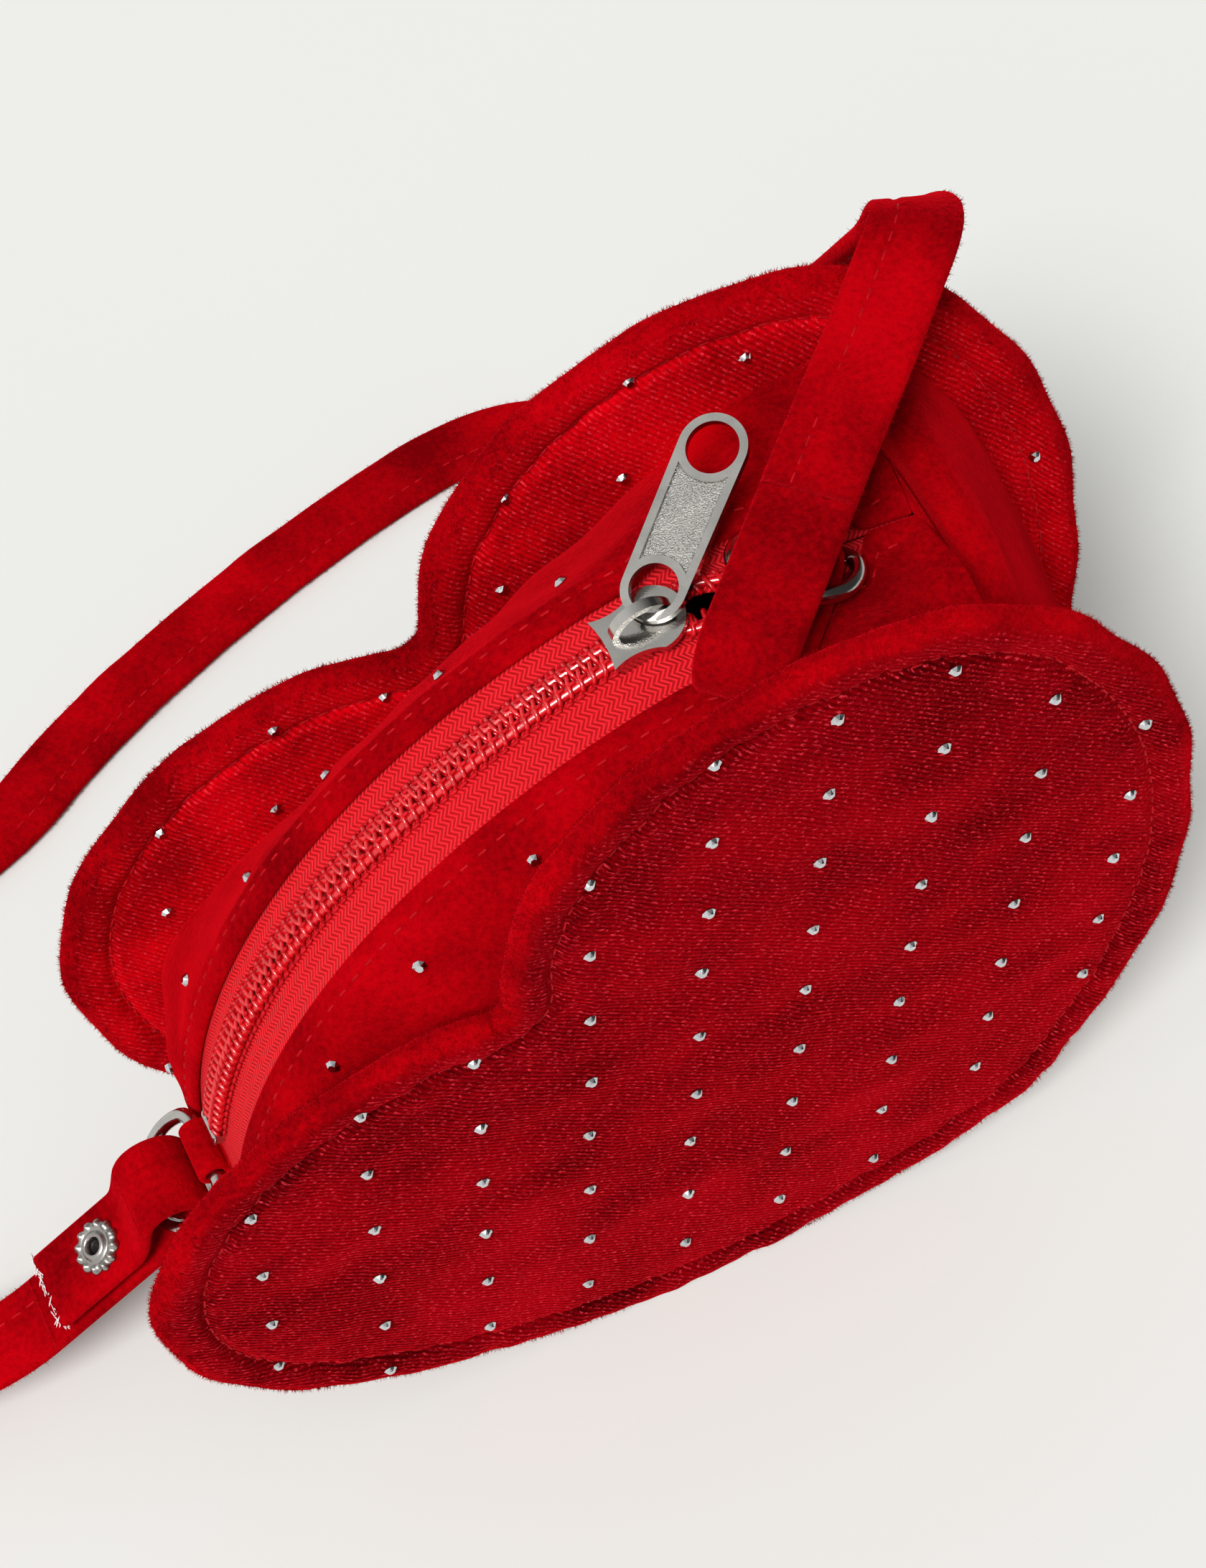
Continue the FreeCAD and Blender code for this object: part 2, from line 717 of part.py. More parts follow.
def snap_stud():
    """Disc and nub on the strap's inner face, with the post that goes through it."""
    stud = disc(snap_disc_r, snap_x, -fold_r, -fold_r + snap_disc_t)
    nub = disc(snap_nub_r, snap_x, -fold_r + snap_disc_t, -fold_r + 2 * snap_disc_t)
    return stud.multiFuse([nub, disc(snap_post_r, snap_x, -fold_out, -fold_r)]).removeSplitter()


left_fold = ring_left * Placement(Vector(ring_reach - fold_slack, 0, 0), Rotation(Vector(1, 0, 0), 180))
left_fold = left_fold * turned(across, strap_left_drop - ring_left_drop)
socket = disc(snap_disc_r, snap_x, flap_low - snap_disc_t, flap_low)
socket = socket.cut(disc(snap_nub_r + snap_nub_play, snap_x, flap_low - snap_disc_t, flap_low))
for name, shape in (
    ("strap_end_left", strap_end_left()),
    ("strap_flap_left", strap_flap_left()),
    ("snap_cap_left", snap_cap()),
    ("snap_socket_left", socket),
    ("snap_stud_left", snap_stud()),
    ("snap_back_left", disc(snap_disc_r, snap_x, -fold_out - snap_disc_t, -fold_out)),
):
    shape.Placement = left_fold
    nodes[name] = shape


def stadium(radius):
    """Outline of a long loop in the local XZ plane."""
    half = loop_slack / 2
    low = [Vector(-half, 0, -radius), Vector(half, 0, -radius)]
    high = [Vector(half, 0, radius), Vector(-half, 0, radius)]
    return [
        Part.makeLine(*low), Part.Arc(low[1], Vector(half + radius, 0, 0), high[0]).toShape(),
        Part.makeLine(*high), Part.Arc(high[1], Vector(-half - radius, 0, 0), low[0]).toShape()]


def strap_end_right():
    """Sewn loop through the right ring, with a tail that leaves over the ring."""
    tail = [
        Vector(0, 0, fold_r), Vector(sewn_length, 0, fold_r),
        Vector(sewn_length, 0, fold_out), Vector(0, 0, fold_out)]
    whole = across_strap(stadium(fold_out)).fuse(across_strap(loop(tail)))
    return whole.cut(across_strap(stadium(fold_r))).removeSplitter()


# The right loop lies level and hangs on past the ring's bow, its tail pointing the other way
right_apex = ring_right.multVec(Vector(ring_reach, 0, 0))
level = Placement(right_apex, right_clip.Rotation * Rotation(upwards, 180))
right_fold = level * Placement(Vector(fold_slack - loop_slack / 2, 0, 0), Rotation())
nodes["strap_end_right"] = strap_end_right()
nodes["strap_end_right"].Placement = right_fold


# Stones: small cut glass cones on a diamond grid, glued to the velvet
def stone(at, outward):
    """One six sided stone with its flat back on a face."""
    side = outward.cross(Vector(1, 0, 0)).normalize()
    other = outward.cross(side)
    rings = []
    for radius, height in ((stone_r, 0), (stone_r * stone_table_share, stone_h)):
        ring = []
        for i in range(stone_sides):
            turn = 2 * math.pi * i / stone_sides
            ring.append(at + outward * height + (side * math.cos(turn) + other * math.sin(turn)) * radius)
        rings.append(ring)
    return ruled(rings)


def grid_points(keep):
    """Points of the diamond grid that a test keeps, in the heart's own axes."""
    reach = round(2 * (lobe_spread + lobe_r) / stone_grid)
    points = []
    for i in range(-reach, 2 * reach):
        for j in range(-reach, 2 * reach):
            x = stone_grid_x + (j - i) * stone_grid / 2
            z = stone_grid_z - (i + j) * stone_grid / 2
            if in_heart(x, z, stone_margin) and keep(x, z):
                points.append(Vector(x, 0, z))
    return points


def outside_pouch(x, z):
    """True where a panel's inner face shows outside the pouch's seam."""
    at = Vector(abs(x), 0, z)
    if z > pouch_top + stone_margin:
        return True
    if z > corner_centre.z and at.x > corner_centre.x:
        return at.distanceToPoint(corner_centre) > pouch_corner_r + stone_margin
    return at.distanceToPoint(flank_centre) > pouch_flank_r + stone_margin


everywhere = grid_points(lambda x, z: True)
flange = grid_points(outside_pouch)
for name, points, place, depth, way in (
    ("stones_front", everywhere, Placement(), 0, -1),
    ("stones_inner_front", flange, Placement(), panel_t, 1),
    ("stones_inner_back", flange, back_place, 0, -1),
    ("stones_back", everywhere, back_place, panel_t, 1),
):
    outward = place.Rotation.multVec(across * way)
    nodes[name] = Part.makeCompound(
        [stone(place.multVec(point + across * depth), outward) for point in points])


def band_stone(place, side, tape_w, ends):
    """One stone in the middle of the upper of the two flat facets between two of a band's sections."""
    high = [on_zip(angle, side * (tape_w + fold_w), band_high) for angle in ends]
    low = [seam_point(place, angle, 0) for angle in ends]
    third = low[1]
    if low[0].distanceToPoint(high[1]) < low[1].distanceToPoint(high[0]):
        third = low[0]
    outward = ((high[1] - high[0]) * side).cross(third - high[0]).normalize()
    return stone((high[0] + high[1] + third) / 3, outward)


stones = []
for i in range(2, closed_steps, 2):
    stones.append(band_stone(front_place, -1, tape_front_w, band_angles[i - 1:i + 1]))
for i in range(1, closed_steps, 2):
    stones.append(band_stone(back_place, 1, tape_back_w, band_angles[i:i + 2]))
nodes["stones_bands"] = Part.makeCompound(stones)


def rounded(points):
    """Edges of straight runs joined by tangent arcs, each arc as large as its two runs allow."""
    edges = []
    last = points[0]
    for before, at, after in zip(points, points[1:], points[2:]):
        into, out = at - before, after - at
        tangent = corner_share * min(into.Length, out.Length)
        turn = into.getAngle(out)
        start = at - into.normalize() * tangent
        end = at + out.normalize() * tangent
        radius = tangent / math.tan(turn / 2)
        inwards = (end - at) + (start - at)
        middle = at + inwards.normalize() * (radius / math.cos(turn / 2) - radius)
        edges += [Part.makeLine(last, start), Part.Arc(start, middle, end).toShape()]
        print("strap arc radius", round(radius, 1), "turn", round(math.degrees(turn)))
        last = end
    return edges + [Part.makeLine(last, points[-1])]


def strap_section(at, along):
    """Flat section across the strap, its width level."""
    side = upwards.cross(along).normalize() * (strap_w / 2)
    rise = along.cross(side).normalize() * (strap_t / 2)
    return [at - side - rise, at + side - rise, at + side + rise, at - side + rise]


def strap(points):
    """Flat strap along a route, and the length of its middle line."""
    edges = rounded(points)
    sections = []
    for edge in edges:
        first, last = edge.FirstParameter, edge.LastParameter
        count = arc_steps if edge.Curve.TypeId == "Part::GeomCircle" else 1
        for value in steps(first, last, count)[:-1]:
            sections.append(strap_section(edge.valueAt(value), edge.tangentAt(value)))
    sections.append(strap_section(edge.valueAt(last), edge.tangentAt(last)))
    return ruled(sections), sum(edge.Length for edge in edges)


# Set down, the flanks press flat on the floor, and the origin moves to the middle of the footprint
set_down = Placement(-contact, Rotation()) * stand
for shape in nodes.values():
    shape.Placement = set_down * shape.Placement
exits = []
for fold, reach, height in (
    (left_fold, strap_leg, -fold_r - strap_t / 2), (right_fold, sewn_length, fold_r + strap_t / 2),
):
    line = [Vector(reach, 0, height), Vector(reach + strap_exit_run, 0, height)]
    exits.append([(set_down * fold).multVec(point) for point in line])
route = exits[0] + [Vector(*point) for point in strap_route] + exits[1][::-1]
nodes["strap"], strap_length = strap(route)
print("strap length", round(strap_length, 1), "mm")
print("strap volume over section times length", nodes["strap"].Volume / (strap_length * strap_w * strap_t))
room = 2 * (lobe_spread + lobe_r)
floor = Part.makeBox(2 * room, 2 * room, room, Vector(-room, -room, press_depth - room))
for name in ("front_outer_panel", "front_inner_panel", "back_inner_panel", "back_outer_panel"):
    nodes[name] = nodes[name].cut(floor)
bag = Part.makeCompound([shape for name, shape in nodes.items() if name != "strap"])
bag = bag.optimalBoundingBox(False, False)
origin_at = Vector(bag.Center.x, bag.Center.y, bag.ZMin)
print("bag", bag)
for point in route:
    print("strap point", [round(v, 2) for v in point - origin_at])
for name, place, pivot in (
    ("slider", Placement(), zip_centre + across * zip_depth),
    ("pull", pull_place, origin),
    ("ring_left", ring_left, origin),
    ("ring_right", ring_right, origin),
    ("flap_left", left_fold, crease_out),
):
    at = (set_down * place).multVec(pivot) - origin_at
    axis = (set_down * place).Rotation.multVec(across)
    print("joint", name, [round(v, 3) for v in at], [round(v, 5) for v in axis])

os.makedirs("parts", exist_ok=True)
for name, shape in nodes.items():
    shape.translate(-origin_at)
    print(name, len(shape.Solids), shape.isValid(), round(shape.Volume, 1))
    shape.exportStep("parts/" + name + ".step")
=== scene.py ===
import math
import bpy
import numpy as np
from mathutils import Matrix


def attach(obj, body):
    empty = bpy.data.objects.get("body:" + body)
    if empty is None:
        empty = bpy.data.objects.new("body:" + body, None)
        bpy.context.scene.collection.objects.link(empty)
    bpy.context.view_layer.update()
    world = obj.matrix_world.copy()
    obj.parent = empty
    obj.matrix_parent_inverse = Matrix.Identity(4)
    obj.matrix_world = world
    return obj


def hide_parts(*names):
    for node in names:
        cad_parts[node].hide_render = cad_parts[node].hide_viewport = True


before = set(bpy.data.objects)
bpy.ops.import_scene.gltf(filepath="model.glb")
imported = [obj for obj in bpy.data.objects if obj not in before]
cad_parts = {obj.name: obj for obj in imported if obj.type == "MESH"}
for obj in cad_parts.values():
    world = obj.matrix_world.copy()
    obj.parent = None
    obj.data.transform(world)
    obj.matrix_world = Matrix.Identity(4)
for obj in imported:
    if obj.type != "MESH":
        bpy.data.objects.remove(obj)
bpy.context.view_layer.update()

# Lengths are in millimetres in the part's own frame; MM turns them into metres when a mesh is made.
MM = 0.001
NO_SHIFT = np.zeros(3)
STILL = (np.eye(3), NO_SHIFT)


# Places

def rotation(axis, degrees):
    """Rotation matrix about X, Y or Z, given as 0, 1 or 2."""
    c, s = math.cos(math.radians(degrees)), math.sin(math.radians(degrees))
    a, b = [(1, 2), (2, 0), (0, 1)][axis]
    m = np.eye(3)
    m[a, a] = m[b, b] = c
    m[a, b], m[b, a] = -s, s
    return m


def at(pose, points):
    """Points moved by a pose, which is a rotation and then a shift."""
    return np.asarray(points, float) @ pose[0].T + pose[1]


def placed(pose, shape):
    """A shape, which is points, faces and perhaps UV, moved by a pose."""
    return (at(pose, shape[0]), *shape[1:])


def after(outer, inner):
    """The pose that does the inner one first."""
    return outer[0] @ inner[0], outer[0] @ inner[1] + outer[1]


def turned(pose, axis, degrees):
    """A pose turned on the spot."""
    return after(pose, (rotation(axis, degrees), NO_SHIFT))


def about(matrix, centre, shift=(0, 0, 0)):
    """The pose that turns about a centre and then shifts."""
    centre = np.asarray(centre, float)
    return matrix, centre - matrix @ centre + np.asarray(shift, float)


# Curves

def rows(*columns):
    """Columns set side by side, as rows of points or faces."""
    return np.stack(np.broadcast_arrays(*columns), -1)


def chain(*parts):
    """Arrays one after another."""
    return np.concatenate(parts)


def unit(v):
    """Vectors scaled to length one."""
    return v / np.maximum(np.linalg.norm(v, axis=-1, keepdims=True), 1e-9)


def smooth(x):
    """Smooth step from 0 to 1 while x goes from 0 to 1."""
    x = np.clip(x, 0, 1)
    return x * x * (3 - 2 * x)


def bump(x, width):
    """Bell shaped bump about zero."""
    return np.exp(-(x / width) ** 2)


def rounded(x):
    """Quarter of a circle, from 0 at x = 0 to 1 at x = 1 and after."""
    return np.sqrt(np.clip(1 - np.clip(1 - x, 0, 1) ** 2, 0, 1))


def arc(x, z, radius, first, last, count):
    """Points of an arc about a centre, between two angles in degrees."""
    turn = np.radians(np.linspace(first, last, count))
    return rows(x + radius * np.cos(turn), z + radius * np.sin(turn))


def ripple(x, y, seed, length):
    """Soft unevenness, about -1 to 1: six sine waves of about one length in mixed directions."""
    rng = np.random.default_rng(seed % 1000)
    total = 0
    for turn, phase, stretch in rng.random((6, 3)) * (2 * np.pi, 2 * np.pi, 1):
        wave = 2 * np.pi / (length * (0.6 + stretch))
        total = total + np.sin(wave * (x * np.cos(turn) + y * np.sin(turn)) + phase)
    return total / 3


def lengths(points):
    """Distance run along rows of points."""
    steps = np.linalg.norm(np.diff(points, axis=0), axis=-1)
    return chain(np.zeros_like(steps[:1]), np.cumsum(steps, 0))


def sample(place, run, line):
    """A line's points, or its vectors, at places along its run."""
    return np.stack([np.interp(place, run, line[:, i]) for i in range(3)], -1)


# The heart's arcs, as the part has them
LOBE_X, LOBE_R, FLANK_R, FLANK_START, TIP_R, NOTCH_R = 44.1, 55.9, 125.5, -6.3, 12.3, 2.5
PANEL_T = 4.2
NOTCH_Z = math.sqrt((LOBE_R + NOTCH_R) ** 2 - LOBE_X ** 2)
NOTCH_A = math.degrees(math.atan2(-NOTCH_Z, LOBE_X))
FLANK_X = LOBE_X + (LOBE_R - FLANK_R) * math.cos(math.radians(FLANK_START))
FLANK_Z = (LOBE_R - FLANK_R) * math.sin(math.radians(FLANK_START))
TIP_Z = FLANK_Z - math.sqrt((FLANK_R - TIP_R) ** 2 - FLANK_X ** 2)
TIP_A = math.degrees(math.atan2(TIP_Z - FLANK_Z, -FLANK_X))

# Each arc: centre, radius, whether an inset widens or narrows it, first and last angle
ARCS = np.array([
    (0, NOTCH_Z, NOTCH_R, 1, -90, NOTCH_A),
    (LOBE_X, 0, LOBE_R, -1, NOTCH_A + 180, FLANK_START),
    (FLANK_X, FLANK_Z, FLANK_R, -1, FLANK_START, TIP_A),
    (0, TIP_Z, TIP_R, -1, TIP_A, -90),
])
# The notch gets more points than its length asks for
NOTCH_EXTRA = 8
ARC_SHARE = (ARCS[:, 2] + (NOTCH_EXTRA, 0, 0, 0)) * np.abs(ARCS[:, 5] - ARCS[:, 4])
ARC_SHARE = chain([0], np.cumsum(ARC_SHARE) / ARC_SHARE.sum())

# The bag lies on its left flank; the back panel is rolled, turned and leant against the front one
STAND_TURN, BACK_ROLL, BACK_TOE_IN, BACK_LEAN, BACK_SHIFT = -44.5, 6.2, -3.2, -6.0, (14.5, 50.4, 0)
STAND = rotation(1, STAND_TURN)
CONTACT = STAND @ np.array([-FLANK_X, 0, FLANK_Z]) - (0, 0, FLANK_R)
ORIGIN = np.array([-7.0315, 36.5012, 1.2])
SET_DOWN = (np.eye(3), -CONTACT - ORIGIN)
BAG = after(SET_DOWN, (STAND, NO_SHIFT))
ROLL = about(rotation(1, BACK_ROLL), (-FLANK_X, 0, FLANK_Z))
TOE_IN = about(rotation(2, BACK_TOE_IN), CONTACT)
LEAN = about(rotation(0, BACK_LEAN), CONTACT, BACK_SHIFT)
BACK = after(SET_DOWN, after(LEAN, after(TOE_IN, after((STAND, NO_SHIFT), ROLL))))
BACK_IN_BAG = (STAND.T @ BACK[0], STAND.T @ (BACK[1] - BAG[1]))


def heart(u, inset):
    """The heart's outline drawn in by an inset, four tangent arcs a side. From the notch, u runs down the
    right side to a half at the tip and up the left side to 1."""
    u, inset = np.broadcast_arrays(np.asarray(u, float), inset)
    v = 1 - np.abs(2 * u - 1)
    k = np.clip(np.searchsorted(ARC_SHARE, v, side="right") - 1, 0, 3)
    part = (v - ARC_SHARE[k]) / (ARC_SHARE[k + 1] - ARC_SHARE[k])
    angle = np.radians(ARCS[k, 4] + (ARCS[k, 5] - ARCS[k, 4]) * part)
    radius = ARCS[k, 2] + ARCS[k, 3] * inset
    x = ARCS[k, 0] + radius * np.cos(angle)
    return np.where(u <= 0.5, x, -x), ARCS[k, 1] + radius * np.sin(angle)


def in_heart(x, z, margin):
    """True where points are inside the heart by a margin."""
    lobe = np.hypot(np.abs(x) - LOBE_X, z) < LOBE_R - margin
    flank = (z < 0) & (np.hypot(np.abs(x) - FLANK_X, z - FLANK_Z) < FLANK_R - margin)
    tip = np.hypot(x, z - TIP_Z) < TIP_R - margin
    return lobe | np.where(z < TIP_Z, tip, flank)


# The zip's arc and the pouch's seam line
ZIP_R, ZIP_Z, ZIP_Y, ZIP_END, SEAM_END = 110.0, -65.0, 33.5, 38.0, 52.0
SLIDER_A, SLIDER_BACK, MOUTH_OPEN = 28.6, 0.9, 2.2
TAPE_T = 0.8
FLANGE = 14.0
POUCH_R = FLANK_R - FLANGE
POUCH_TOP, CORNER_R, POUCH_TIP_R = 27.4, 26.5, 10.0
CORNER_Z = POUCH_TOP - CORNER_R
CORNER_A = math.degrees(math.asin((CORNER_Z - FLANK_Z) / (POUCH_R - CORNER_R)))
CORNER_X = FLANK_X + (POUCH_R - CORNER_R) * math.cos(math.radians(CORNER_A))
POUCH_TIP_Z = FLANK_Z - math.sqrt((POUCH_R - POUCH_TIP_R) ** 2 - FLANK_X ** 2)
POUCH_TIP_A = math.degrees(math.atan2(POUCH_TIP_Z - FLANK_Z, -FLANK_X))


def on_zip(angle, offset, height):
    """Points at an angle along the zip, an offset across it and a height above the tape's middle."""
    a, reach = np.radians(angle), ZIP_R + height
    return rows(reach * np.sin(a), ZIP_Y + offset, ZIP_Z + reach * np.cos(a))


def zip_out(angle):
    """Unit vectors out from the zip's arc."""
    return unit(on_zip(angle, 0, 1.0) - on_zip(angle, 0, 0))


def spread(angle):
    """How far each lip of the mouth stands off: a sine cubed between the slider and the zip's end."""
    start = SLIDER_A - math.degrees(SLIDER_BACK / ZIP_R)
    share = np.clip((angle - start) / (ZIP_END - start), 0, 1)
    return MOUTH_OPEN * np.sin(np.pi * share) ** 3


def pouch_line():
    """The pouch's seam line, clockwise from the middle of its straight top: three tangent arcs a side."""
    top = rows(np.linspace(0, CORNER_X, 100)[:-1], POUCH_TOP)
    corner = arc(CORNER_X, CORNER_Z, CORNER_R, 90, CORNER_A, 80)
    flank = arc(FLANK_X, FLANK_Z, POUCH_R, CORNER_A, POUCH_TIP_A, 240)
    tip = arc(0, POUCH_TIP_Z, POUCH_TIP_R, POUCH_TIP_A, -90, 20)
    half = chain(top, corner, flank[1:], tip[1:])
    return chain(half, half[-2:0:-1] * (-1, 1))


SEAM = pouch_line()


def seam_points(pose, depth, angle):
    """Points of a panel's seam line, looked up by angle about the zip's centre, in the bag's axes."""
    line = at(pose, rows(SEAM[:, 0], depth, SEAM[:, 1]))
    turn = np.unwrap(np.arctan2(line[:, 0], line[:, 2] - ZIP_Z))
    turn = np.degrees(chain(turn - 2 * np.pi, turn))
    return sample(angle, turn, np.tile(line, (2, 1)))


# Meshes

def quads(index, across=False, along=False):
    """Four sided faces of a grid of vertex numbers, joined to itself across or along where asked."""
    if along:
        index = chain(index, index[:1])
    if across:
        index = np.concatenate([index, index[:, :1]], 1)
    return rows(index[:-1, :-1], index[1:, :-1], index[1:, 1:], index[:-1, 1:]).reshape(-1, 4)


def in_scene(name, data):
    """A new object in the scene."""
    obj = bpy.data.objects.new(name, data)
    bpy.context.scene.collection.objects.link(obj)
    return obj


def add_piece(name, shape, material, body="bag", flat=False, replaces=()):
    """A finished piece of a shape: a mesh at the origin, faces outward, riding on a body of the part."""
    verts, faces, *uv = shape
    volume = 0
    for group in faces:
        p = verts[group]
        for i in range(1, group.shape[1] - 1):
            volume += np.einsum("ij,ij->i", p[:, 0], np.cross(p[:, i], p[:, i + 1])).sum()
    if volume < 0:
        faces = [group[:, ::-1] for group in faces]
    mesh = bpy.data.meshes.new(name)
    mesh.from_pydata((verts * MM).tolist(), [], sum([group.tolist() for group in faces], []))
    mesh.polygons.foreach_set("use_smooth", np.full(len(mesh.polygons), not flat))
    if uv:
        corner = np.empty(len(mesh.loops), np.int32)
        mesh.loops.foreach_get("vertex_index", corner)
        layer = mesh.uv_layers.new(name="cloth")
        layer.data.foreach_set("uv", (uv[0] * MM)[corner].ravel())
    mesh.materials.append(material)
    mesh.update()
    obj = in_scene(name, mesh)
    if replaces:
        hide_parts(*replaces)
    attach(obj, body)
    return obj


def remade(node, kind, shape, material, body="bag", flat=False):
    """A piece in place of one of the part's nodes, named for it."""
    return add_piece(node + "_" + kind, shape, material, body, flat, [node])


def cloth(node, shape, body="bag"):
    """A node remade in plain velvet."""
    return remade(node, "cloth", shape, velvet_plain, body)


def stitches(name, *lots):
    """Stitches of deep red thread on the bag's velvet, several lots as one piece."""
    add_piece(name + "_stitches", joined(lots), thread_deep)


def strip_normals(middle):
    """Unit normals of a grid of points."""
    return unit(np.cross(np.gradient(middle, axis=0), np.gradient(middle, axis=1)))


def strip(middle, half):
    """Closed strip about a grid of middle points: each side stands off by half a thickness, which is
    nothing at the long edges. The UV are lengths."""
    n, m = middle.shape[:2]
    half = np.broadcast_to(half, (n, m))[..., None]
    normal = strip_normals(middle)
    top, low = middle + normal * half, middle - normal * half
    upper = np.arange(n * m).reshape(n, m)
    lower = upper.copy()
    lower[:, 1:-1] = n * m + np.arange(n * (m - 2)).reshape(n, m - 2)
    ends = [rows(upper[i, :-1], lower[i, :-1], lower[i, 1:], upper[i, 1:]) for i in (0, -1)]
    ends = [ends[0], ends[1][:, ::-1]]
    corners = np.concatenate([end[[0, -1]] for end in ends])
    tris = np.array([list(dict.fromkeys(row)) for row in corners.tolist()])
    faces = [quads(upper)[:, ::-1], quads(lower), ends[0][1:-1, ::-1], ends[1][1:-1, ::-1], tris]
    uv = rows(lengths(middle), lengths(middle.swapaxes(0, 1)).T)
    points = chain(top.reshape(-1, 3), low[:, 1:-1].reshape(-1, 3))
    return points, faces, chain(uv.reshape(-1, 2), uv[:, 1:-1].reshape(-1, 2))


def edge_round(s, width, half, radius):
    """Half thickness across a strip of a width, its two long edges rounded by a radius."""
    return half * rounded(np.minimum(s, width - s) / radius)


def across_steps(width, count, radius):
    """Places across a strip, closer together near its rounded edges."""
    share = np.linspace(0, 1, count)
    edge = np.sin(np.linspace(0, np.pi / 2, 5)) ** 2 * radius
    return chain(edge[:-1], radius + share * (width - 2 * radius), width - edge[-2::-1])


def drawn_strip(flat, s, width, half):
    """Closed strip of a width along a line drawn in the local XZ plane."""
    return strip(rows(flat[:, None, 0], s - width / 2, flat[:, None, 1]), half)


def rod(path, side, up, radius, count, loop=False):
    """Rod along a path: a circle carried on two vectors, with flat ends or joined to itself."""
    path, side, up = np.broadcast_arrays(path, side, up)
    turn = np.linspace(0, 2 * np.pi, count, endpoint=False)[:, None]
    points = path[:, None] + (side[:, None] * np.cos(turn) + up[:, None] * np.sin(turn)) * radius
    index = np.arange(len(path) * count).reshape(-1, count)
    ends = [] if loop else [np.stack([index[0], index[-1, ::-1]])]
    return points.reshape(-1, 3), [quads(index, across=True, along=loop)] + ends


def capped(grid):
    """Closed shape of rings of points, each end shut by a fan to its middle."""
    index = np.arange(grid[..., 0].size).reshape(grid.shape[:2])
    first = rows(index[0], np.roll(index[0], -1), index.size)
    last = rows(np.roll(index[-1], -1), index[-1], index.size + 1)
    points = chain(grid.reshape(-1, 3), [grid[0].mean(0), grid[-1].mean(0)])
    return points, [quads(index, across=True), chain(first, last)]


def copies(shape, places, axes):
    """A small shape set down at many places, each with its own three axes as rows."""
    points = np.einsum("va,kab->kvb", shape[0], axes) + places[:, None]
    first = (np.arange(len(places)) * len(shape[0]))[:, None, None]
    return points.reshape(-1, 3), [(group[None] + first).reshape(-1, group.shape[1]) for group in shape[1]]


def joined(shapes):
    """Several shapes as one."""
    points, faces, count = [], [], 0
    for p, f in shapes:
        points.append(p)
        faces += [group + count for group in f]
        count += len(p)
    return np.concatenate(points), faces


def bead(length, radius):
    """A small long bead along its first axis, for one stitch: two rings of six points and two ends."""
    turn = np.linspace(0, 2 * np.pi, 6, endpoint=False)
    ring = rows(0.0, np.cos(turn) * radius, np.sin(turn) * radius)
    shift = np.array([length * 0.3, 0, 0])
    points = chain([[-length / 2, 0, 0]], ring - shift, ring + shift, [[length / 2, 0, 0]])
    i = np.arange(6)
    j = (i + 1) % 6
    ends = chain(rows(0, 1 + j, 1 + i), rows(13, 7 + i, 7 + j))
    return points, [rows(1 + i, 1 + j, 7 + j, 7 + i), ends]


def stitch_line(path, normal, pitch, length, lift, radius=0.22):
    """Stitches along a path of points with normals, evenly spaced."""
    run = lengths(path)
    place = np.arange(pitch / 2, run[-1], pitch)
    along = unit(sample(place, run, np.gradient(path, axis=0)))
    up = unit(sample(place, run, normal))
    side = unit(np.cross(up, along))
    axes = np.stack([along, side, np.cross(along, side)], 1)
    return copies(bead(length, radius), sample(place, run, path) + up * lift, axes)


# One fibre of pile: its points and faces, its lean, shortest and longest reach, and how low it may hang
FIBRE = (
    np.array([(-0.3, 0.08, 0), (-0.3, -0.04, 0.069), (-0.3, -0.04, -0.069), (1, 0, 0)]),
    [np.array([(0, 1, 2), (1, 0, 3), (2, 1, 3), (0, 2, 3)])])
FIBRE_LEAN, FIBRE_SHORT, FIBRE_LONG, FIBRE_LOW = 0.45, 0.35, 0.95, 0.05


def add_pile(name, places, outward, seed):
    """Short fibres standing off velvet: thin three sided spikes, leaning and long at random."""
    rng = np.random.default_rng(seed)
    lean = unit(outward + rng.normal(0, FIBRE_LEAN, outward.shape))
    side = unit(np.cross(lean, unit(rng.normal(0, 1, lean.shape))))
    reach = rng.uniform(FIBRE_SHORT, FIBRE_LONG, (len(places), 1))
    points, faces = copies(FIBRE, places, np.stack([lean * reach, side, np.cross(lean, side)], 1))
    points[:, 2] = np.maximum(points[:, 2], FIBRE_LOW)
    add_piece(name + "_pile", (points, faces), velvet_plain)


# Materials

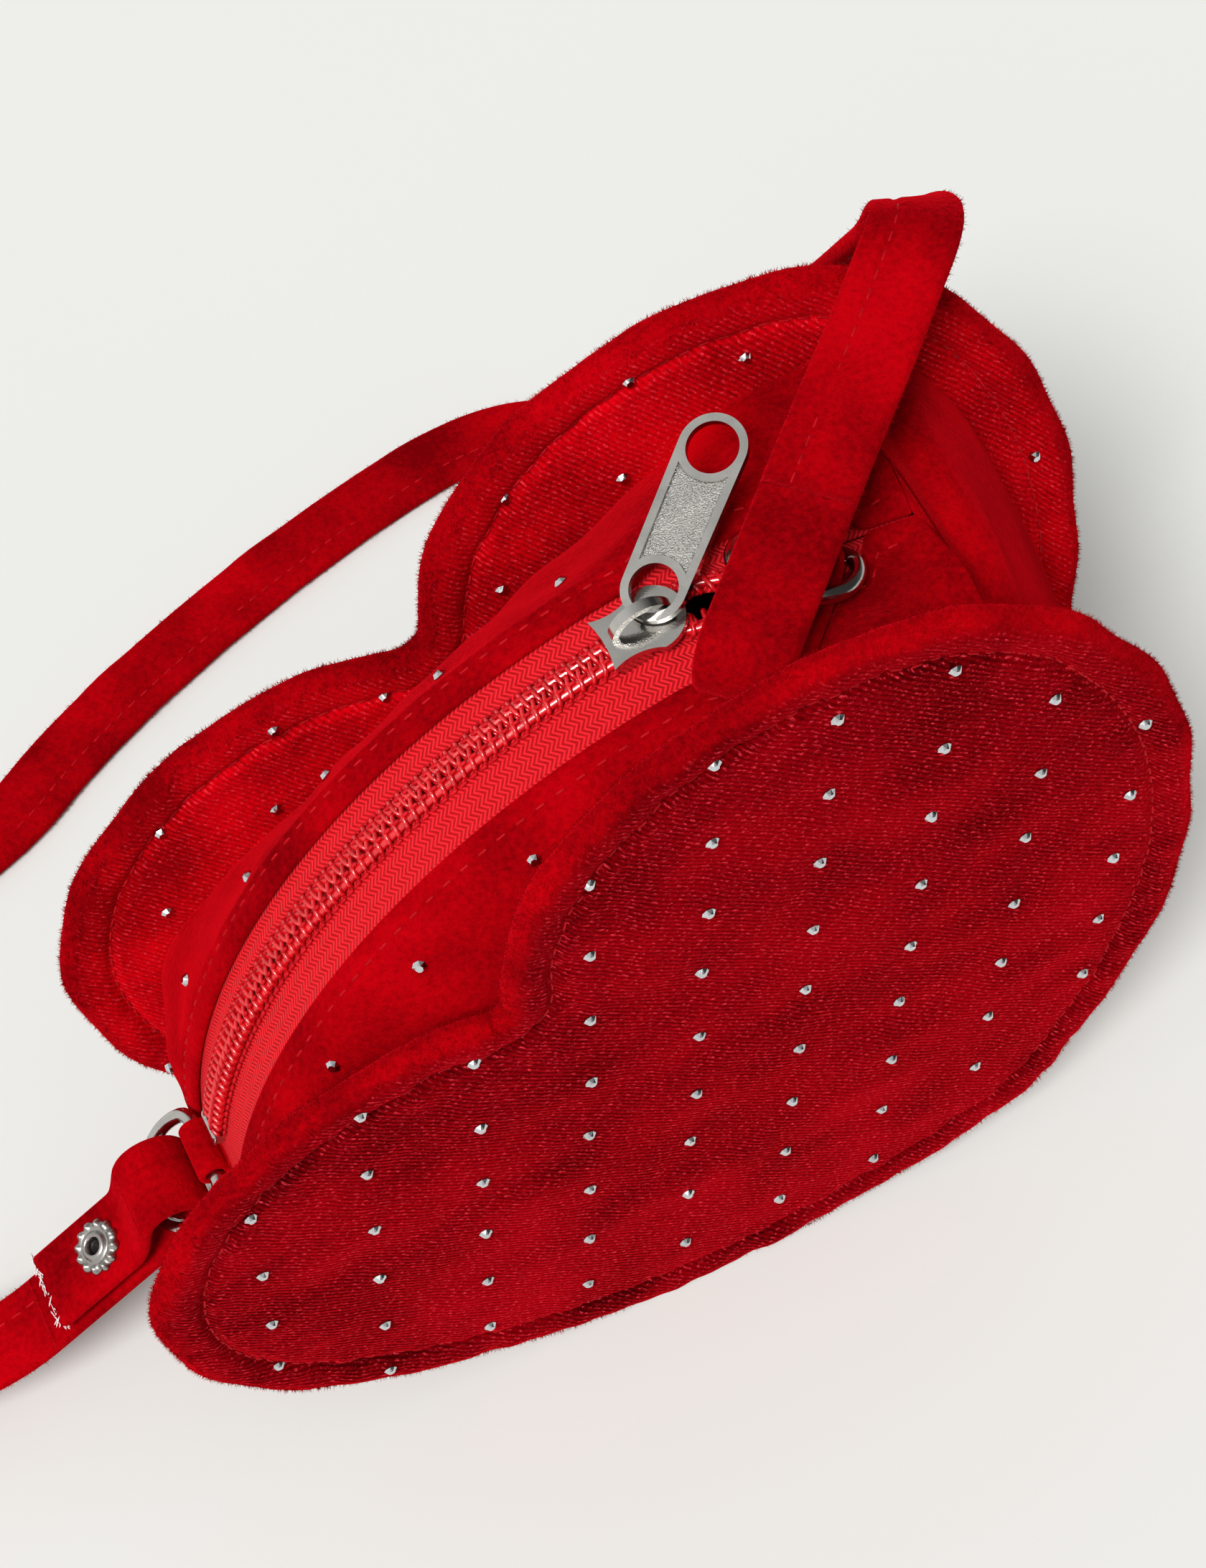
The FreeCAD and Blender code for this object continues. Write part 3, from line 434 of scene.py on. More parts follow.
class Finish:
    """A material's node tree with short ways to add nodes."""

    def __init__(self, name):
        self.material = bpy.data.materials.new(name)
        self.material.use_nodes = True
        self.tree = self.material.node_tree
        self.shader = self.tree.nodes["Principled BSDF"]
        self.place = self.node("TexCoord")

    def node(self, kind):
        """A new node of a kind."""
        return self.tree.nodes.new("ShaderNode" + kind)

    def link(self, source, socket):
        """Joins a node's first output, or an output, to an input, or sets a plain value or colour."""
        if hasattr(source, "outputs"):
            source = source.outputs[0]
        if isinstance(source, bpy.types.NodeSocket):
            self.tree.links.new(source, socket)
        else:
            socket.default_value = (*source, 1) if isinstance(source, tuple) else source

    def math(self, kind, a, b=0.0, c=0.0):
        """One sum."""
        node = self.node("Math")
        node.operation = kind
        for value, socket in zip((a, b, c), node.inputs):
            self.link(value, socket)
        return node

    def plus(self, a, b):
        """Two values added."""
        return self.math("ADD", a, b)

    def times(self, a, b, more=0.0):
        """Two values multiplied, and a third one added."""
        return self.math("MULTIPLY_ADD", a, b, more)

    def wave(self, place, pitch):
        """Sine wave of a pitch in metres, from 0 to 1."""
        return self.times(self.math("SINE", self.times(place, 2 * math.pi / pitch)), 0.5, 0.5)

    def noise(self, scale, detail=2.0, rough=0.5):
        """Noise on the piece's own coordinates, its scale in cells a metre."""
        node = self.node("TexNoise")
        place = self.place.outputs["Object"]
        for name, value in (("Scale", scale), ("Detail", detail), ("Roughness", rough), ("Vector", place)):
            self.link(value, node.inputs[name])
        return node

    def ramp(self, value, *stops):
        """Colours at places from 0 to 1."""
        node = self.node("ValToRGB")
        for element, (where, colour) in zip(node.color_ramp.elements, stops):
            element.position = where
            element.color = (*colour, 1)
        self.link(value, node.inputs["Fac"])
        return node.outputs[0]

    def mix(self, share, a, b):
        """Two colours mixed by a share."""
        node = self.node("Mix")
        node.data_type = "RGBA"
        for value, socket in ((share, 0), (a, 6), (b, 7)):
            self.link(value, node.inputs[socket])
        return node.outputs[2]

    def uv(self, axis):
        """One of the piece's own two lengths in metres."""
        node = self.node("SeparateXYZ")
        self.link(self.place.outputs["UV"], node.inputs[0])
        return node.outputs[axis]

    def bump(self, height, depth):
        """Height to normal, in metres."""
        node = self.node("Bump")
        for name, value in (("Strength", 1.0), ("Distance", depth), ("Height", height)):
            self.link(value, node.inputs[name])
        self.link(node, self.shader.inputs["Normal"])

    def set(self, **values):
        """Values on the shader's own sockets, names with _ for spaces."""
        for name, value in values.items():
            self.link(value, self.shader.inputs[name.replace("_", " ")])
        return self.material


RIB_TURN, RIB_PITCH, RIB_WANDER = math.radians(7.4), 0.0009, 0.0012
# Scales across and along the ribs, and colour, of the painted glints: pinkish streaks standing in for light caught
# by the pile
GLINTS_OVER, GLINTS_ALONG, GLINT_RED = 1900.0, 900.0, (0.9, 0.045, 0.07)
PLAIN_DEEP, PLAIN_FULL = (0.17, 0.0003, 0.002), (0.48, 0.0006, 0.004)
DEEP_AT, FULL_AT = 0.34, 0.7


def velvet(name, deep, full):
    """Velvet: deep and full red mixed by noise, with a red sheen. Ribbed cloth has its own two reds, fine knit ribs
    and painted glints: bright pinkish streaks drawn out along the rib crests, painted highlights of the pile, which
    fade out with the piece's ribbed share."""
    f = Finish(name)
    fine = f.noise(900, 4, 0.75)
    broad = f.noise(45, 2, 0.5)
    level = f.plus(f.times(broad, 0.8), f.times(fine, 0.6, -0.2))
    ribbed = f.node("Attribute")
    ribbed.attribute_name = "ribbed"
    ribbed = ribbed.outputs["Fac"]

    c, s = math.cos(RIB_TURN), math.sin(RIB_TURN)
    over = f.plus(f.times(f.uv(0), c), f.times(f.uv(1), s))
    along = f.math("SUBTRACT", f.times(f.uv(1), c), f.times(f.uv(0), s))
    ribs = f.times(f.wave(f.plus(over, f.times(f.noise(110), RIB_WANDER)), RIB_PITCH), ribbed)
    plain = f.ramp(level, (DEEP_AT, PLAIN_DEEP), (FULL_AT, PLAIN_FULL))
    face = f.ramp(f.plus(level, f.times(ribs, 0.16, -0.08)), (DEEP_AT, deep), (FULL_AT, full))
    colour = f.mix(ribbed, plain, face)

    # Painted highlight: glints of the pile, mixed in pinkish red where the rib crests are
    glint_place = f.node("CombineXYZ")
    f.link(f.times(over, GLINTS_OVER), glint_place.inputs[0])
    f.link(f.times(along, GLINTS_ALONG), glint_place.inputs[1])
    glints = f.noise(1.0, 3, 0.65)
    f.link(glint_place, glints.inputs["Vector"])
    glints = f.ramp(glints, (0.54, (0, 0, 0)), (0.68, (1, 1, 1)))
    colour = f.mix(f.times(glints, f.times(ribs, 0.95)), colour, GLINT_RED)
    f.bump(f.plus(f.times(ribs, 0.22), fine), 0.0004)
    return f.set(
        Base_Color=colour, Roughness=0.9, Specular_IOR_Level=0.0, Sheen_Weight=0.6,
        Sheen_Roughness=0.35, Sheen_Tint=(1.0, 0.008, 0.018))


def metal(name, colour, rough, grain=3200, depth=0.00002):
    """Plated metal: slight cloudiness in colour and gloss over a fine grain of its own size and depth."""
    f = Finish(name)
    cloud = f.noise(220, 3)
    tone = f.ramp(cloud, (0.3, tuple(0.8 * c for c in colour)), (0.7, colour))
    f.bump(f.plus(f.noise(grain), f.times(cloud, 0.2)), depth)
    return f.set(Base_Color=tone, Metallic=1.0, Roughness=f.times(cloud, 0.16, rough))


HERRINGBONE, SLANT, WEAVE_PITCH = 0.0026, 0.0022, 0.0009


def woven(name):
    """Zip tape: a herringbone weave, ribs slanting one way and the other in turn across the tape."""
    f = Finish(name)
    fold = f.math("SUBTRACT", f.math("FRACT", f.times(f.uv(1), 1 / HERRINGBONE)), 0.5)
    slant = f.times(f.math("ABSOLUTE", fold), SLANT, f.uv(0))
    level = f.plus(f.times(f.wave(slant, WEAVE_PITCH), 0.7), f.times(f.noise(900), 0.4))
    tone = f.ramp(level, (0.2, (0.42, 0.003, 0.006)), (0.85, (0.97, 0.018, 0.03)))
    f.bump(level, 0.0003)
    return f.set(
        Base_Color=tone, Roughness=0.7, Specular_IOR_Level=0.1, Sheen_Weight=0.1, Sheen_Tint=(1.0, 0.1, 0.1))


def nylon(name, low, high, rough=0.6, coat=0.0):
    """Nylon wire or thread: red with cloudy depth, as glossy as its coat."""
    f = Finish(name)
    tone = f.ramp(f.noise(500), (0.3, low), (0.7, high))
    f.bump(f.noise(1800, 1), 0.00004)
    return f.set(
        Base_Color=tone, Roughness=rough, Specular_IOR_Level=0.1 + 0.6 * coat,
        Coat_Weight=coat, Coat_Roughness=0.08)


velvet_panel = velvet("velvet_panel", (0.04, 0.0001, 0.0008), (0.235, 0.0003, 0.003))
# The inner faces' velvet is the panel's ribbed velvet made about three times brighter: painted light
velvet_inner_painted_light = velvet("velvet_inner_painted_light", (0.23, 0.0003, 0.002), (0.70, 0.0007, 0.006))
velvet_plain = velvet("velvet_plain", PLAIN_DEEP, PLAIN_FULL)
tape_red = woven("tape_red")
nylon_red = nylon("nylon_red", (0.50, 0.002, 0.006), (0.74, 0.008, 0.014), rough=0.2, coat=0.7)
thread_red = nylon("thread_red", (0.44, 0.002, 0.006), (0.62, 0.008, 0.016), coat=0.03)
thread_deep = nylon("thread_deep", (0.34, 0.001, 0.004), (0.52, 0.004, 0.01))
thread_pale = nylon("thread_pale", (0.78, 0.62, 0.62), (0.92, 0.86, 0.86))
nickel = metal("nickel", (0.56, 0.545, 0.515), rough=0.08)
nickel_sand = metal("nickel_sand", (0.44, 0.428, 0.40), rough=0.34, grain=4200, depth=0.0003)
snap_metal = metal("snap_metal", (0.42, 0.395, 0.375), rough=0.2)
snap_dark = metal("snap_dark", (0.03, 0.025, 0.025), rough=0.4)
stone_glass = metal("stone_glass", (0.72, 0.73, 0.75), rough=0.0, depth=0.00001)


# Camera: the photo's own view, from the fitted pose

VIEW_RIGHT = np.array([0.90112, -0.43356, -0.00055])
VIEW_DOWN = np.array([-0.36386, -0.75556, -0.54474])
VIEW_AWAY = np.array([0.23576, 0.49108, -0.83861])
VIEW_FROM = np.array([-118.999, -255.680, 556.503])


def set_up(name, data, right, up, away, place):
    """A camera or light at a place in metres, looking away along a direction."""
    obj = in_scene(name, data)
    m = np.eye(4)
    m[:3, :3] = rows(right, up, -away)
    m[:3, 3] = place
    obj.matrix_world = Matrix(m.tolist())
    return obj


camera = bpy.data.cameras.new("camera")
camera.lens = 74.19
camera.sensor_width = 36
bpy.context.scene.camera = set_up("camera", camera, VIEW_RIGHT, -VIEW_DOWN, VIEW_AWAY, VIEW_FROM * MM)


# Strap: flat velvet, its width level, along a smooth curve through the route

STRAP_W, STRAP_T, STRAP_ROUND, STRAP_SEAM = 15.0, 2.6, 1.3, 4.6
STRAP_S = across_steps(STRAP_W, 21, STRAP_ROUND)
STRAP_HALF = edge_round(STRAP_S, STRAP_W, STRAP_T / 2, STRAP_ROUND) - 0.35 * bump(STRAP_S - STRAP_SEAM, 0.6)
STRAP_HALF = np.maximum(STRAP_HALF, 0)
STRAP_WAVE, STRAP_WAVE_L, STRAP_CALM = 0.35, 26, 30
STRAP_FIBRES = 5200
ROUTE = np.array([
    (-106.94, -3, 26.18), (-115.73, -3, 19.56), (-134.97, -2.5, 19.3), (-153.97, 0.5, 6.8), (-172.97, 11.5, 1.4),
    (-186.97, 30.5, 1.4), (-189.97, 53.5, 1.4), (-180.97, 75.5, 1.4), (-162.97, 92.5, 1.4), (-139.97, 99.5, 1.4),
    (-110.97, 102.5, 1.4), (-78.97, 110.5, 1.4), (-55.97, 126.5, 1.4), (-12.97, 146, 1.4), (29.03, 159.5, 1.4),
    (53.03, 163.5, 1.5), (68.03, 155.5, 6.3), (74.03, 137.5, 23.8), (76.03, 113.5, 57.8), (77.03, 81.5, 111.8),
    (78.03, 55.5, 156.8), (79.03, 38.5, 187.3), (58.03, 18.5, 181.3), (43.39, 4.69, 180.36), (35.61, -3.09, 180.09),
])


def smooth_line(route):
    """Points of a smooth curve with the route's points as its control points."""
    data = bpy.data.curves.new("route", "CURVE")
    data.dimensions = "3D"
    data.resolution_u = 12
    line = data.splines.new("NURBS")
    line.points.add(len(route) - 1)
    line.points.foreach_set("co", np.concatenate([route, np.ones((len(route), 1))], 1).ravel())
    line.order_u = 3
    line.use_endpoint_u = True
    holder = in_scene("route", data)
    mesh = bpy.data.meshes.new_from_object(holder)
    points = np.empty(len(mesh.vertices) * 3, np.float32)
    mesh.vertices.foreach_get("co", points)
    bpy.data.objects.remove(holder)
    bpy.data.curves.remove(data)
    bpy.data.meshes.remove(mesh)
    return points.reshape(-1, 3).astype(float)


strap_line = smooth_line(ROUTE)
strap_along = unit(np.gradient(strap_line, axis=0))
strap_side = unit(np.cross((0, 0, 1), strap_along))
strap_up = unit(np.cross(strap_along, strap_side))


def strap_middle():
    """Middle surface of the strap: its width carried along the line, with soft waves away from its ends."""
    run = lengths(strap_line)
    wave = STRAP_WAVE * ripple(run[:, None], 2 * STRAP_S[None], 5, STRAP_WAVE_L) * smooth(run / STRAP_CALM)[:, None]
    wave = wave * smooth((run[-1] - run) / STRAP_CALM)[:, None]
    level = strap_line[:, None] + strap_side[:, None] * (STRAP_S - STRAP_W / 2)[:, None]
    return level + strap_up[:, None] * np.maximum(wave, 0)[..., None]


def strap_pile():
    """Pile on the strap's two rounded edges: fibres at random places along them, square to the round."""
    rng = np.random.default_rng(21)
    pick = rng.integers(2, len(strap_line) - 2, STRAP_FIBRES)
    way = rng.choice([-1.0, 1.0], (STRAP_FIBRES, 1))
    places = strap_line[pick] + strap_along[pick] * rng.uniform(-1.2, 1.2, (STRAP_FIBRES, 1))
    roll = rng.uniform(-1.1, 1.1, (STRAP_FIBRES, 1))
    outward = strap_side[pick] * way * np.cos(roll) + strap_up[pick] * np.sin(roll)
    places = places + strap_side[pick] * way * (STRAP_W / 2 - STRAP_ROUND) + outward * (STRAP_ROUND - 0.05)
    add_pile("strap", places, outward, 22)


strap = cloth("strap", strip(strap_middle(), STRAP_HALF))
strap_pile()
seam = strap_line + strap_side * (STRAP_SEAM - STRAP_W / 2)
stitches("strap", *[
    stitch_line(seam, way * strap_up, pitch=3.6, length=2.6, lift=STRAP_T / 2 - 0.3) for way in (1, -1)])


# Padded heart panels: two faces of velvet over wadding, rolled rim, a stitched line round the rim

CENTRE_Z = -20.0
ROLL_R, ROLL_HALF, STITCH_IN = 3.0, 2.7, 8.0
RIM_IN = np.array([0, 0.12, 0.45, 1.0, 1.7, 2.6, 3.6, 4.7, 5.8, 6.7, 7.3, 7.7, 8.0, 8.3, 8.7, 9.3, 10.1, 11])
SHRINK = np.linspace(0.965, 0.02, 32)
RING_COUNT, RIM_FIBRES = 420, 14000


def panel_xz(u, inset, shrink):
    """A ring of the panel: the outline drawn in by an inset, then shrunk towards the panel's middle."""
    x, z = heart(u, inset)
    return x * shrink, CENTRE_Z + (z - CENTRE_Z) * shrink


def half_thickness(depth):
    """Half the panel's thickness at a depth from its rim: a rolled edge, a stitched groove, soft padding."""
    edge = ROLL_HALF * rounded(depth / ROLL_R) - bump(depth - STITCH_IN, 1.0)
    return edge - 0.5 * smooth((depth - 3) / 4) + 0.5 * smooth((depth - 9) / 16)


def face_height(x, z, depth, way, seed):
    """How far across a panel its face lies: half the thickness, with soft unevenness away from the rim."""
    calm = smooth((depth - 9) / 14)
    uneven = 0.45 * ripple(x, z, seed, 34) * calm + 0.22 * ripple(x, z, seed + 1, 13) * calm
    quilt = 0.3 * ripple(x, z, seed + 2, 9) * smooth(depth / 2) * (1 - calm)
    return PANEL_T / 2 + way * (half_thickness(depth) + uneven + quilt)


def rim_depth(x, z):
    """Distance of points from the heart's outline, to about a tenth of a millimetre."""
    edge_x, edge_z = heart(np.linspace(0, 1, 1600, endpoint=False), 0.0)
    return np.sqrt((x[..., None] - edge_x) ** 2 + (z[..., None] - edge_z) ** 2).min(-1)


def rim_wobble(u, seed):
    """Hand sewn unevenness of a panel's rim: two waves round it."""
    return 0.45 * np.sin(2 * np.pi * (9 * u + 0.1 * seed)) + 0.35 * np.sin(2 * np.pi * (23 * u + 0.37 * seed))


def face_normals(pose, way, count):
    """The same outward direction of a panel's face, many times."""
    return np.tile(pose[0] @ np.array([0, way, 0]), (count, 1))


def rim_pile(name, pose, seed):
    """Pile round a panel's rolled rim: fibres at random places on the roll, square to it."""
    rng = np.random.default_rng(30 + seed)
    u = rng.random(RIM_FIBRES)
    roll = rng.uniform(-1.3, 1.3, RIM_FIBRES)
    inset = ROLL_R * (1 - np.cos(roll)) + rim_wobble(u, seed)
    edge, inner = rows(*heart(u, inset)), rows(*heart(u, inset + 0.5))
    out = unit(edge - inner) * np.cos(roll)[:, None]
    places = at(pose, rows(edge[:, 0], PANEL_T / 2 + ROLL_HALF * np.sin(roll), edge[:, 1]))
    outward = rows(out[:, 0], np.sin(roll), out[:, 1]) @ pose[0].T
    off_floor = places[:, 2] > 1.5
    add_pile(name, places[off_floor], outward[off_floor], 40 + seed)


def rim_stitches(pose, way, seed):
    """Stitches in the groove round one face of a panel."""
    u = (np.arange(1201) / 1200 + 0.002) % 1
    x, z = heart(u, STITCH_IN)
    line = at(pose, rows(x, face_height(x, z, STITCH_IN, way, seed + 10 * way), z))
    return stitch_line(line, face_normals(pose, way, len(u)), pitch=3.4, length=2.3, lift=0.05)


def padded_panel(name, pose, seed, cloths, nodes):
    """Closed padded heart: rings of the outline from one face's middle over the rim to the other's."""
    u = np.arange(RING_COUNT) / RING_COUNT
    inset = chain(RIM_IN, np.full(len(SHRINK), RIM_IN[-1]))[:, None]
    shrink = chain(np.ones(len(RIM_IN)), SHRINK)[:, None]
    x, z = panel_xz(u[None], inset + rim_wobble(u, seed) * np.exp(-inset / 5) * (inset < RIM_IN[-1]), shrink)
    depth = rim_depth(*panel_xz(u[None], inset, shrink))
    depth[: len(RIM_IN)] = RIM_IN[:, None]
    first, second = [rows(x, face_height(x, z, depth, way, seed + 10 * way), z) for way in (-1, 1)]
    grid = chain(first[::-1], second[1:])
    points, faces = capped(grid)
    uv = points[:, [0, 2]]
    points = at(pose, points)
    points[:, 2] = np.maximum(points[:, 2], 0.02)
    obj = add_piece(name, (points, faces, uv), cloths[0], replaces=nodes)

    # The second face has the other velvet: the two are one ribbed velvet, a darker copy and a brighter copy with
    # painted light for the inner faces, and the ribbed share grows from the rim to the face
    obj.data.materials.append(cloths[1])
    in_second = np.repeat(np.arange(len(grid) - 1) >= len(inset) - 1, RING_COUNT)
    in_second = chain(in_second, np.arange(2 * RING_COUNT) >= RING_COUNT)
    obj.data.polygons.foreach_set("material_index", in_second.astype(np.int32))
    ribbed = smooth((depth - 0.5) / 3.5)
    ribbed = chain(ribbed[::-1].ravel(), ribbed[1:].ravel(), [1, 1])
    obj.data.attributes.new("ribbed", "FLOAT", "POINT").data.foreach_set("value", ribbed.astype(np.float32))
    stitches(name, *[rim_stitches(pose, way, seed) for way in (-1, 1)])
    rim_pile(name, pose, seed)


# Each panel's inner face takes the brighter copy of the ribbed velvet, painted light
padded_panel(
    "front_heart", BAG, 1, (velvet_panel, velvet_inner_painted_light), ["front_outer_panel", "front_wadding", "front_inner_panel"])
padded_panel(
    "back_heart", BACK, 2, (velvet_inner_painted_light, velvet_panel), ["back_inner_panel", "back_wadding", "back_outer_panel"])


# Zip bands: velvet with a folded edge over the tape, sloping down to the seam on each panel

BAND_A = chain(
    np.linspace(-SEAM_END, 27, 110), np.linspace(27, ZIP_END, 60)[1:], np.linspace(ZIP_END, SEAM_END, 20)[1:])
BAND_HALF, BAND_ROUND, BAND_SEAM, FOLD, FOLD_H = 0.8, 1.1, 4.0, 4.6, 1.3
SEAM_SINK = 0.8
# Angle, run and offset: the bands draw in past the zip's end, and shut over the tape past the tab
DRAW_IN_A, DRAW_IN_RUN, DRAW_IN_TO = 39.0, 4.5, 5.8
SHUT_A, SHUT_RUN, SHUT_TO = 45.4, 2.6, 0.15
# Which way across the zip, tape's width, panel's place and its seam's depth
SIDES = {"front": (-1, 11.5, STILL, PANEL_T), "back": (1, 8.0, BACK_IN_BAG, 0.0)}


def band_middle(way):
    """A band's middle surface, normals and lengths across: a flat fold, then a quadratic curve to the
    panel's seam, with a ridge and a valley at each side seam."""
    side, tape_w, pose, depth = SIDES[way]
    a = BAND_A[:, None]
    edge = tape_w + spread(a) - (tape_w - DRAW_IN_TO) * smooth((a - DRAW_IN_A) / DRAW_IN_RUN)
    edge = edge - (edge - SHUT_TO) * smooth((a - SHUT_A) / SHUT_RUN)
    flat = np.linspace(0, FOLD, 15)[None]
    fold = on_zip(a, side * (edge + flat), FOLD_H + 0.02 * flat)
    start = fold[:, -1:]
    foot = seam_points(pose, depth + side * SEAM_SINK, BAND_A)[:, None]
    knee = start + 0.4 * (foot - start) + zip_out(a) * 2.2
    t = np.linspace(0, 1, 22)[None, 1:, None]
    slope = (1 - t) ** 2 * start + 2 * t * (1 - t) * knee + t ** 2 * foot
    whole = np.concatenate([fold, slope], 1)

    s = lengths(whole.swapaxes(0, 1)).T
    to_foot = s[:, -1:] - s
    soft = smooth((s - FOLD) / 4) * smooth(to_foot / 3)
    lift = 0.5 * ripple(np.radians(a) * ZIP_R, s * 1.6, 31 + side, 24) * soft
    to_end = (SEAM_END - np.abs(a)) * np.radians(1) * ZIP_R
    ridge = (2.0 * bump(to_end, 2.6) - 1.0 * bump(to_end - 6.5, 3.0)) * smooth(to_foot / 4) * smooth(s / FOLD)
    middle = whole + strip_normals(whole) * side * (lift + ridge)[..., None]
    return middle, strip_normals(middle) * side, s


BANDS = {way: band_middle(way) for way in SIDES}
for way, (middle, normal, s) in BANDS.items():
    half = BAND_HALF * rounded(s / BAND_ROUND) - 0.3 * bump(s - BAND_SEAM, 0.5)
    half = np.maximum(half, 0)
    half[:, -1] = 0
    cloth("zip_band_" + way, placed(BAG, strip(middle, half)))
    stitched = np.abs(BAND_A) < SEAM_END - 1, np.argmin(np.abs(s[0] - BAND_SEAM))
    stitches("zip_band_" + way, stitch_line(
        at(BAG, middle[stitched]), normal[stitched] @ BAG[0].T, pitch=3.8, length=2.1, lift=BAND_HALF - 0.24))


# Lower gusset: from side seam to side seam round the flanks and the tip, from panel to panel

GUSSET_ROWS, GUSSET_HALF = 220, 0.8


def gusset_edge(pose, depth):
    """Evenly spaced points of a panel's seam line below the two side seams, in the bag's axes."""
    turn = np.linspace(SEAM_END, 360 - SEAM_END, 900)
    line = seam_points(pose, depth, np.where(turn > 180, turn - 360, turn))
    run = lengths(line)
    place = np.linspace(0, run[-1], GUSSET_ROWS)
    return sample(place, run, line), place


def gusset_middle(share):
    """The gusset's middle surface: ruled between two seam lines, arched and uneven, gathered at its ends."""
    front_edge, run = gusset_edge(STILL, PANEL_T - SEAM_SINK)
    back_edge, _ = gusset_edge(BACK_IN_BAG, SEAM_SINK)
    middle = front_edge[:, None] * (1 - share)[:, None] + back_edge[:, None] * share[:, None]
    normal = strip_normals(middle)
    outward = np.sign(np.einsum("ijk,ijk->ij", normal, middle - middle.mean((0, 1)))[..., None])
    arch = np.sin(np.pi * share)[None]
    puff = 1.6 * arch + 0.7 * ripple(run[:, None], 60 * share[None], 41, 30) * arch
    to_end = np.minimum(run, run[-1] - run)[:, None]
    gathers = 2.0 * bump(to_end, 2.6) - 1.5 * bump(to_end - 6.0, 2.6) + 0.9 * bump(to_end - 12.0, 3.0)
    puff = puff * smooth(to_end / 10) + gathers * arch ** 0.5
    return middle + normal * outward * puff[..., None]


share = np.linspace(0, 1, 30)
half = np.where((share == 0) | (share == 1), 0, GUSSET_HALF)
points, faces, uv = placed(BAG, strip(gusset_middle(share), half))
points[:, 2] = np.maximum(points[:, 2], 0.3)
cloth("lower_gusset", (points, faces, uv))


# Zip tapes and coil rows

TAPE_TUCK, TAPE_ROUND, TAPE_GAP = 3.0, 0.4, 0.15
COIL_TURNS, COIL_STEPS, COIL_WIRE_R = 72, 14, 0.4
COIL_PITCH = 2 * ZIP_END / COIL_TURNS
# Middle and half travel of a loop, across the zip and above the tape
LOOP_OFF, LOOP_REACH, LOOP_H, LOOP_RISE = 1.15, 1.75, 1.55, 0.85
LOOP_SLANT = np.array([0.35, 0, 0.94])
CORE_OFF, CORE_H, CORE_HALF_W, CORE_HALF_H = 1.6, 1.35, 1.1, 0.75
# Offset and height of the two rows of thread that hold a coil
COIL_SEAMS = ((1.5, 2.55), (3.35, 0.9))


def zip_tape(side, tape_w):
    """Tape: a flat strip along the zip's arc with rounded edges, standing off at the open mouth."""
    width = tape_w + TAPE_TUCK
    a = BAND_A[:, None]
    s = across_steps(width, 12, TAPE_ROUND)[None]
    middle = on_zip(a, side * (TAPE_GAP + spread(a) + s), 0)
    return strip(middle, edge_round(s, width, TAPE_T / 2, TAPE_ROUND))


def coil_wire(side):
    """Coil row: a wire in flat loops along the zip, bent between those of the other row, round a core."""
    t = np.linspace(0, COIL_TURNS, COIL_TURNS * COIL_STEPS + 1)
    angle = -ZIP_END + (t + (0.5 if side > 0 else 0.0)) * COIL_PITCH
    angle = np.clip(angle, -ZIP_END, ZIP_END)
    loop = 2 * np.pi * t
    reach = LOOP_OFF + LOOP_REACH * np.cos(loop)
    path = on_zip(angle, side * (reach + spread(angle)), LOOP_H + LOOP_RISE * np.sin(loop))
    along = unit(np.gradient(path, axis=0))
    up = unit(np.cross(along, LOOP_SLANT))
    wire = rod(path, up, np.cross(along, up), COIL_WIRE_R, 6)
    angle = np.linspace(-ZIP_END, ZIP_END, 120)
    path = on_zip(angle, side * (CORE_OFF + spread(angle)), CORE_H)
    return joined([wire, rod(path, (0, CORE_HALF_W, 0), zip_out(angle) * CORE_HALF_H, 1.0, 8)])


def coil_thread(side):
    """Two rows of stitches over a coil, one stitch to each loop."""
    angle = np.linspace(-ZIP_END, ZIP_END, 400)
    normal = zip_out(angle) @ BAG[0].T
    parts = []
    for offset, height in COIL_SEAMS:
        line = at(BAG, on_zip(angle, side * (offset + spread(angle)), height))
        pitch = np.radians(COIL_PITCH) * (ZIP_R + height)
        parts.append(stitch_line(line, normal, pitch, length=1.7, lift=0.0, radius=0.33))
    return joined(parts)


for way, (side, tape_w, *_) in SIDES.items():
    remade("zip_tape_" + way, "cloth", placed(BAG, zip_tape(side, tape_w)), tape_red)
    remade("zip_coil_" + way, "wire", placed(BAG, coil_wire(side)), nylon_red)
    add_piece("zip_coil_" + way + "_thread", coil_thread(side), thread_red)


# D-rings, their tabs and the strap's two ends

def zip_frame(angle, height):
    """Local axes on the zip: X along its travel, Y across, Z outwards, from a height."""
    return after(BAG, (rotation(1, angle), on_zip(angle, 0.0, height)))


